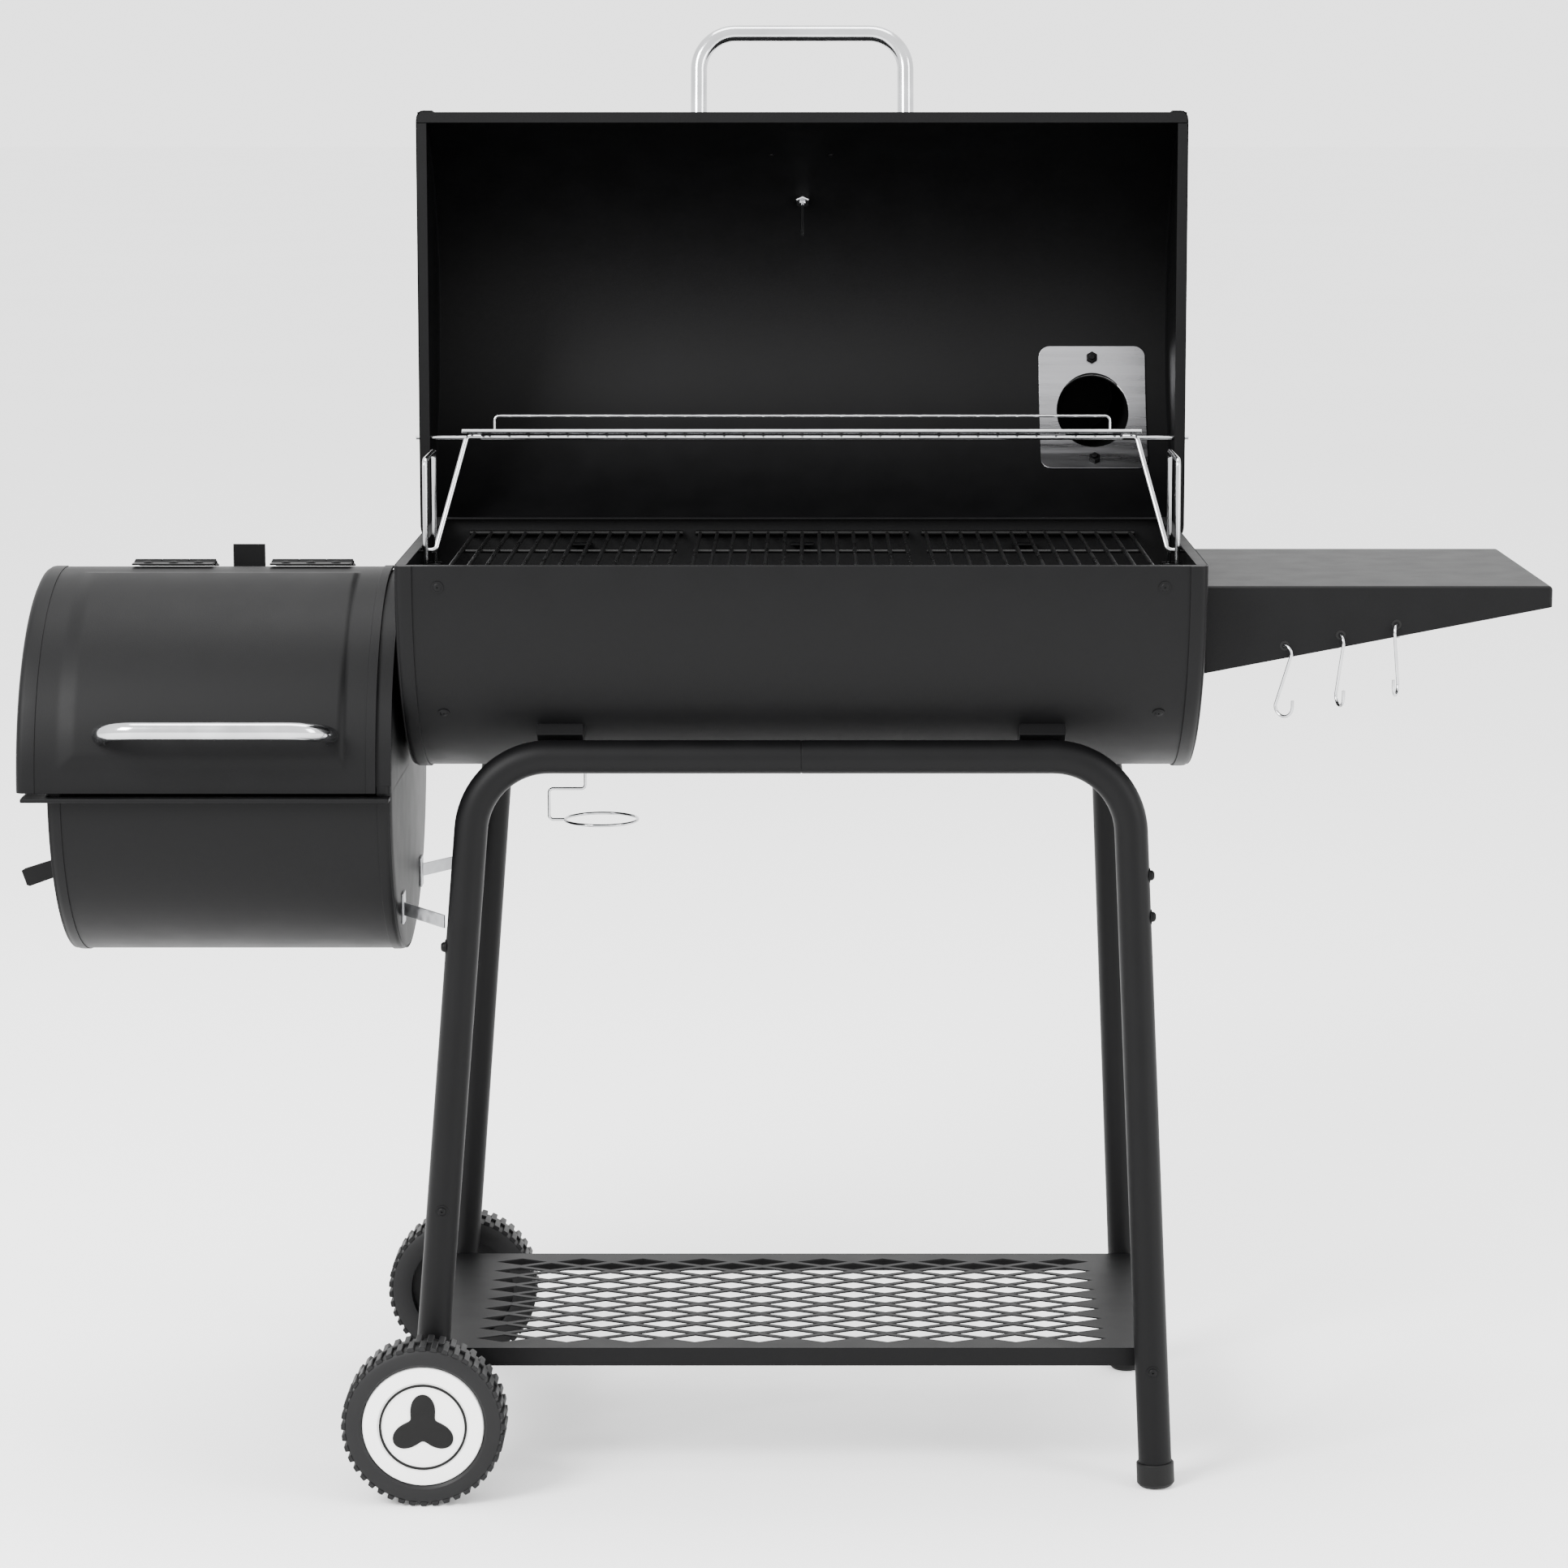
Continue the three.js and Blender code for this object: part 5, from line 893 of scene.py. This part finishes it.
# ---------------------------------------------------------------- hinges
def leaf(name, node, body, pin, degrees, length, width, sheet, knuckle, fixed):
    """One leaf of a hinge on a pin along X, with its knuckles and three screws."""
    third, half = width / 6, width / 2
    direction, normal = around(1, degrees), around(1, degrees + 90)
    spin = Matrix((at(1, 0, 0), direction, normal)).transposed()
    plate = Shape().grid([[at(u, v + length / 2 + knuckle * 0.4, z) for u, v in
                           rounded_rectangle(half, length / 2 - knuckle * 0.4, 2.5, 6)]
                          for z in (-sheet / 2, sheet / 2)], ring=True, caps=True)
    plate.moved(lambda p: spin @ p + pin)
    knuckles = Shape()
    spans = [(-half, -third - GAP), (third + GAP, half)] if fixed else [(-third, third)]
    for x0, x1 in spans:
        knuckles.rod(pin + at(x0, 0, 0), pin + at(x1, 0, 0), knuckle, 32, ease=0.4)
    if fixed:
        knuckles.rod(pin + at(-half - 1, 0, 0), pin + at(half + 1, 0, 0), knuckle * 0.45, 16)
    side = 1 if fixed else -1
    screws = Shape()
    for u in (-half * 0.62, 0, half * 0.62):
        foot = pin + at(u, 0, 0) + direction * length * 0.62 + normal * side * sheet * 0.5
        screw_head(screws, foot, normal * side, 3.2, 1.8)
    piece(name, plate, "black_paint", body, [node], bevel=0.4)
    piece(f"{name}_knuckles", knuckles, "black_paint", body)
    piece(f"{name}_screws", screws, "black_paint", body)


def hinges():
    pin = around(FIRE_LID_RADIUS + 4.2, PIN_ANGLE, 0, FIREBOX_AXIS_Z)
    centre = (FIREBOX_LEFT + FIREBOX_RIGHT) / 2
    for name, side in (("left", -1), ("right", 1)):
        kinds = (("fixed", "root", PIN_ANGLE - 97), ("lid", "firebox_lid", PIN_ANGLE + 96))
        for kind, body, degrees in kinds:
            leaf(f"fire_hinge_{kind}_{name}", f"firebox_hinge_{kind}_{name}", body,
                 pin + at(centre + side * FIRE_HINGE_X, 0, 0), degrees, length=26, width=80, sheet=1.6,
                 knuckle=3.2, fixed=kind == "fixed")
        place = at(side * HINGE_X, HINGE_Y, HINGE_Z)
        leaf(f"hinge_fixed_{name}", f"barrel_hinge_fixed_{name}", "root", place, 252, length=40, width=64,
             sheet=2, knuckle=4, fixed=True)
        leaf(f"hinge_lid_{name}", f"barrel_hinge_lid_{name}", "lid", place, 4, length=76, width=64,
             sheet=2, knuckle=4, fixed=False)


# ---------------------------------------------------------------- stand, wheels and feet
def stand():
    for name_x, side_x, leg in (("left", -1, LEFT_LEG), ("right", 1, RIGHT_LEG)):
        for name_y, side_y in (("front", -1), ("rear", 1)):
            corner, foot, foot_z = leg
            route = [at(side_x * GAP, side_y * BEAM_Y, BEAM_Z), at(corner, side_y * BEAM_Y, BEAM_Z),
                     at(foot, side_y * FOOT_Y, foot_z)]
            piece(f"tube_{name_y}_{name_x}", bent(route, LEG_BEND, TUBE_RADIUS, 40, 20), "black_paint",
                  "root", [f"stand_tube_{name_y}_{name_x}"], bevel=0.6)
    for name, side in (("front", -1), ("rear", 1)):
        top_x, top_y = on_leg(RIGHT_LEG, FOOT_CAP_TOP)
        low_x, low_y = on_leg(RIGHT_LEG, 0.0)
        top, low = at(top_x, side * top_y, FOOT_CAP_TOP), at(low_x, side * low_y, 0)
        run = (top - low).normalized()
        r = TUBE_RADIUS
        sleeve = Shape().turned([(0, 1.2), (r, 1.2), (r + 2.2, 4), (r + 2.2, 23), (r + 1.4, 24),
                                 (r + 0.1, 24), (0, 24)], run, low, 48)
        ground = Shape().block(low_x - 60, low_x + 60, low.y - 60, low.y + 60, -40, 0)
        piece(f"foot_sleeve_{name}", sleeve, "foot_plastic", "root", [f"foot_cap_{name}"], cutters=[ground])
    leg_x, leg_y = on_leg(LEFT_LEG, WHEEL_RADIUS)
    reach = leg_y + TUBE_RADIUS + WHEEL_WIDTH - 5
    axle = Shape().rod(at(leg_x, -reach, WHEEL_RADIUS), at(leg_x, reach, WHEEL_RADIUS), AXLE_RADIUS, 24)
    piece("axle_rod", axle, "galvanised_steel", "root", ["axle"])
    bolts()


def bolts():
    """Bolt heads on the front and back of the legs, others facing outwards, and sleeves in the beam seams."""
    heads = Shape()
    for side in (-1, 1):
        for leg, height in FACE_BOLTS:
            x, y = on_leg(leg, height)
            screw_head(heads, at(x, side * (y + TUBE_RADIUS - 0.5), height), at(0, side, 0), 4.2, 2.8)
        for leg, height, out in SIDE_BOLTS:
            x, y = on_leg(leg, height)
            screw_head(heads, at(x + out * (TUBE_RADIUS - 0.5), side * y, height), at(out, 0, 0), 5.0, 5.0)
    piece("stand_bolts", heads, "black_paint", "root")
    sleeves = Shape()
    for side in (-1, 1):
        sleeves.rod(at(-12, side * BEAM_Y, BEAM_Z), at(12, side * BEAM_Y, BEAM_Z), TUBE_RADIUS - 0.5, 40)
    piece("beam_sleeves", sleeves, "black_paint", "root")
    screws = Shape()
    for x in (-BOWL_SCREW_X, BOWL_SCREW_X):
        for degrees in BOWL_SCREW_ANGLES:
            screw_head(screws, around(SHELL_RADIUS, degrees, x, BARREL_AXIS_Z), around(1, degrees), 4.0, 1.6)
    piece("bowl_screws", screws, "black_paint", "root")


def wheels():
    leg_x, leg_y = on_leg(LEFT_LEG, WHEEL_RADIUS)
    r, w, hub = WHEEL_RADIUS, WHEEL_WIDTH, HUB_RADIUS
    for name, side in (("front", -1), ("rear", 1)):
        out = at(0, side, 0)
        seat = at(leg_x, side * (leg_y + TUBE_RADIUS + 3), WHEEL_RADIUS)
        body = f"wheel_{name}"
        tyre = Shape().turned([(5.5, 2), (14, 2), (14, w * 0.4), (hub - 4, w * 0.4), (hub - 4, 1.5), (hub, 0),
                               (r - 7, 0), (r - 4, 2), (r - 3, 6), (r - 3, w - 6), (r - 4, w - 2), (r - 7, w),
                               (hub + 3, w), (hub + 0.6, w - 2), (hub + 0.6, w - 7), (5.5, w - 7), (5.5, 2)],
                              out, seat, 96)
        piece(f"tyre_{name}", tyre, "wheel_plastic", body, [f"wheel_{name}"])
        lugs = Shape()
        for k in range(TREAD_LUGS):
            a = 2 * math.pi * k / TREAD_LUGS
            ray = at(math.cos(a), 0, math.sin(a))
            across = ray.cross(out)
            span = (1.0, w * 0.54) if k % 2 else (w * 0.46, w - 1.0)
            corners = [(r - 4.5, -3.6), (r - 4.5, 3.6), (r - 0.3, 2.8), (r - 0.3, -2.8)]
            lugs.grid([[seat + out * d + ray * reach + across * u for reach, u in corners] for d in span],
                      ring=True, caps=True)
        piece(f"tread_{name}", lugs, "wheel_plastic", body, bevel=0.8)
        cap_shape = Shape().turned([(0, w - 6), (hub, w - 6), (hub, w - 3.2), (hub - 1, w - 1.6),
                                    (hub - 3, w - 1.2), (44, w - 0.4), (42.5, w - 1.6), (0, w - 1.6)],
                                   out, seat, 96)
        piece(f"hub_{name}", cap_shape, "hub_cap_white", body, [f"hub_cap_{name}"])
        ring = Shape().turned([(39.6, w - 1.8), (42, w - 1.8), (42, w - 0.5), (41.6, w - 0.1), (40, w - 0.1),
                               (39.6, w - 0.5), (39.6, w - 1.8)], out, seat, 96)
        piece(f"hub_ring_{name}", ring, "foot_plastic", body)
        lobes = []
        for k in range(96):
            a = 2 * math.pi * k / 96
            reach = HUB_CENTRE_RADIUS + HUB_CENTRE_SWELL * math.cos(3 * a)
            lobes.append(reach * at(math.sin(a), 0, math.cos(a)))
        centre = Shape().grid([[seat + out * d + p * scale for p in lobes]
                               for d, scale in ((w - 1.8, 1.0), (w - 0.6, 1.0), (w - 0.1, 0.95))],
                              ring=True, caps=True)
        piece(f"hub_centre_{name}", centre, "foot_plastic", body)


# ---------------------------------------------------------------- shelf, side table, hooks and drip wire
def pierced_sheet(outline, holes, thickness):
    """A flat sheet with holes, from a filled curve; its middle plane is z = 0."""
    curve = bpy.data.curves.new("sheet", "CURVE")
    curve.dimensions = "2D"
    curve.fill_mode = "BOTH"
    curve.extrude = thickness / 2
    for loop in [outline, *holes]:
        spline = curve.splines.new("POLY")
        spline.points.add(len(loop) - 1)
        for point, (u, v) in zip(spline.points, loop):
            point.co = (u, v, 0, 1)
        spline.use_cyclic_u = True
    holder = bpy.data.objects.new("sheet", curve)
    bpy.context.scene.collection.objects.link(holder)
    mesh = as_shown(holder)
    shape = Shape()
    shape.points = [v.co.copy() for v in mesh.vertices]
    shape.faces = [list(face.vertices) for face in mesh.polygons]
    bpy.data.objects.remove(holder)
    return shape


def shelf():
    middle = (SHELF_LEFT + SHELF_RIGHT) / 2
    half_x, half_y = (SHELF_RIGHT - SHELF_LEFT) / 2, SHELF_Y
    holes = []
    for row in range(DIAMOND_HALF_ROWS):
        count = DIAMOND_COLUMNS - row % 2
        v = (row - (DIAMOND_HALF_ROWS - 1) / 2) * DIAMOND_PITCH_Y / 2
        for i in range(count):
            u = (i - (count - 1) / 2) * DIAMOND_PITCH_X
            holes.append([(u - DIAMOND_HALF_WIDTH, v), (u, v + DIAMOND_HALF_DEPTH),
                          (u + DIAMOND_HALF_WIDTH, v), (u, v - DIAMOND_HALF_DEPTH)])
    sheet = pierced_sheet(rounded_rectangle(half_x, half_y, 3, 4), holes, SHEET)
    sheet.moved(lambda p: p + at(middle, 0, SHELF_Z - SHEET / 2))
    piece("shelf_plate", sheet, "black_paint", "root", ["bottom_shelf"], bevel=0.25)
    rows = []
    for inset, z in ((0, SHELF_Z - 1), (0, SHELF_Z - SHELF_FLANGE), (SHEET, SHELF_Z - SHELF_FLANGE),
                     (SHEET, SHELF_Z - 1)):
        outline = rounded_rectangle(half_x - inset, half_y - inset, 3, 6)
        rows.append([at(middle + u, v, z) for u, v in outline])
    piece("shelf_flange", Shape().grid(rows, ring=True, loop=True), "black_paint", "root", bevel=0.3)


def hook_place(offset):
    low = TABLE_Z - TABLE_ROOT + (TABLE_ROOT - TABLE_TIP) * offset / TABLE_LENGTH
    return at(TABLE_X + offset, -TABLE_Y + SHEET / 2, low + 12)


def table():
    x0, x1, y, z = TABLE_X, TABLE_X + TABLE_LENGTH, TABLE_Y, TABLE_Z
    root, tip = z - TABLE_ROOT, z - TABLE_TIP
    shell = Shape()
    shell.points = [at(x0, -y, z), at(x1, -y, z), at(x1, y, z), at(x0, y, z),
                    at(x0, -y, root), at(x1, -y, tip), at(x1, y, tip), at(x0, y, root)]
    shell.faces = [[0, 1, 2, 3], [4, 5, 1, 0], [5, 6, 2, 1], [6, 7, 3, 2], [7, 4, 0, 3]]
    made = piece("table_shell", shell, "black_paint", "root", ["side_table"], bevel=4.0, skin=SHEET,
                 crease=30.0)
    made.modifiers["ease"].segments = 5
    holes = Shape()
    for offset in HOOK_OFFSETS:
        place = hook_place(offset)
        holes.turned([(2.6, -0.1), (4.6, -0.1), (4.6, 0.25), (2.6, 0.25), (2.6, -0.1)], at(0, -1, 0),
                     at(place.x, -y, place.z), 24)
    piece("table_eyelets", holes, "black_enamel", "root")


def hooks():
    top = 8.0
    low = 10.0
    for index, (offset, yaw) in enumerate(zip(HOOK_OFFSETS, HOOK_YAWS), 1):
        route = [at(0, top, -top - 6)]
        for a in between(0.0, math.pi, 16):
            route.append(at(0, top * math.cos(a), -top + top * math.sin(a)))
        for a in between(0.0, math.pi, 16):
            route.append(at(0, low * math.cos(a), -(HOOK_HEIGHT - low) - low * math.sin(a)))
        route.append(at(0, -low, -(HOOK_HEIGHT - low) + 6))
        turn = Matrix.Rotation(math.radians(yaw), 3, "Z")
        place = hook_place(offset)
        wire = Shape().tube(route, 1.5, 16).moved(lambda p: turn @ p + place)
        piece(f"hook_wire_{index}", wire, "chrome", f"hook_{index}", [f"tool_hook_{index}"])


def drip_wire():
    floor = BARREL_AXIS_Z - BARREL_RADIUS
    out_x = DRIP_X - DRIP_RING_RADIUS
    corners = [at(DRIP_X, 0, floor + 5), at(DRIP_X, 0, floor - DRIP_UPPER_DROP),
               at(out_x, 0, floor - DRIP_UPPER_DROP), at(out_x, 0, floor - DRIP_LOWER_DROP),
               at(out_x + 17, 0, floor - DRIP_LOWER_DROP)]
    wire = bent(corners, 4, 1.5, 16)
    ring = [at(DRIP_X + 16 + DRIP_RING_RADIUS * math.cos(a), DRIP_RING_RADIUS * math.sin(a),
               floor - DRIP_LOWER_DROP) for a in (2 * math.pi * k / 72 for k in range(72))]
    wire.tube(ring, 1.5, 16, loop=True)
    wire.rod(at(DRIP_X, 0, floor + 4.6), at(DRIP_X, 0, floor + 6.6), 5, 24)
    piece("drip_wire", wire, "chrome", "drip_cup_holder", ["drip_cup_holder"])


# ---------------------------------------------------------------- the object, the floor, the light
for build in (barrel, lid, chimney, thermometer, rack, grates, tray, fire_lid, firebox, braces, hinges, stand,
              wheels, shelf, table, hooks, drip_wire):
    build()
for name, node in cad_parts.items():
    node.data.materials.clear()
    node.data.materials.append(FINISHES["black_paint"])


def floor_and_light():
    scene = bpy.context.scene
    mesh = bpy.data.meshes.new("floor")
    half = 80.0
    corners = rounded_rectangle(half, half, 3.0, 12)
    mesh.from_pydata([(u, v, 0.0) for u, v in corners], [], [list(range(len(corners)))])
    floor = bpy.data.objects.new("floor", mesh)
    scene.collection.objects.link(floor)
    mesh.materials.append(surface("floor_paper", (0.95, 0.95, 0.95), 0.7, uneven=0.05, patch=0.6, bump=0.05,
                                  grain=60.0, tint=0.01))
    world = bpy.data.worlds.new("studio")
    world.use_nodes = True
    world.node_tree.nodes["Background"].inputs["Color"].default_value = (1.0, 1.0, 1.0, 1)
    world.node_tree.nodes["Background"].inputs["Strength"].default_value = 2.6
    scene.world = world
    target = Vector((0.0, 0.0, 0.75))
    for name, place, width, height, power in (
            ("key", (-2.6, -3.0, 3.2), 1.6, 2.0, 380.0), ("fill", (3.4, -2.4, 2.0), 1.2, 3.0, 130.0),
            ("top", (0.0, 0.2, 4.2), 3.0, 1.6, 150.0)):
        lamp = bpy.data.lights.new(name, "AREA")
        lamp.shape = "RECTANGLE"
        lamp.size, lamp.size_y, lamp.energy = width, height, power
        holder = bpy.data.objects.new(name, lamp)
        holder.location = place
        holder.rotation_euler = (target - Vector(place)).to_track_quat("-Z", "Y").to_euler()
        scene.collection.objects.link(holder)


def camera():
    scene = bpy.context.scene
    lens = bpy.data.cameras.new("camera")
    lens.lens = 95.7
    lens.shift_x = -0.0176
    lens.shift_y = -0.109
    holder = bpy.data.objects.new("camera", lens)
    pitch_down = 7.3
    holder.location = (0.036, -4.314, 1.351)
    holder.rotation_euler = (math.radians(90 - pitch_down), 0, 0)
    scene.collection.objects.link(holder)
    scene.camera = holder


floor_and_light()
camera()
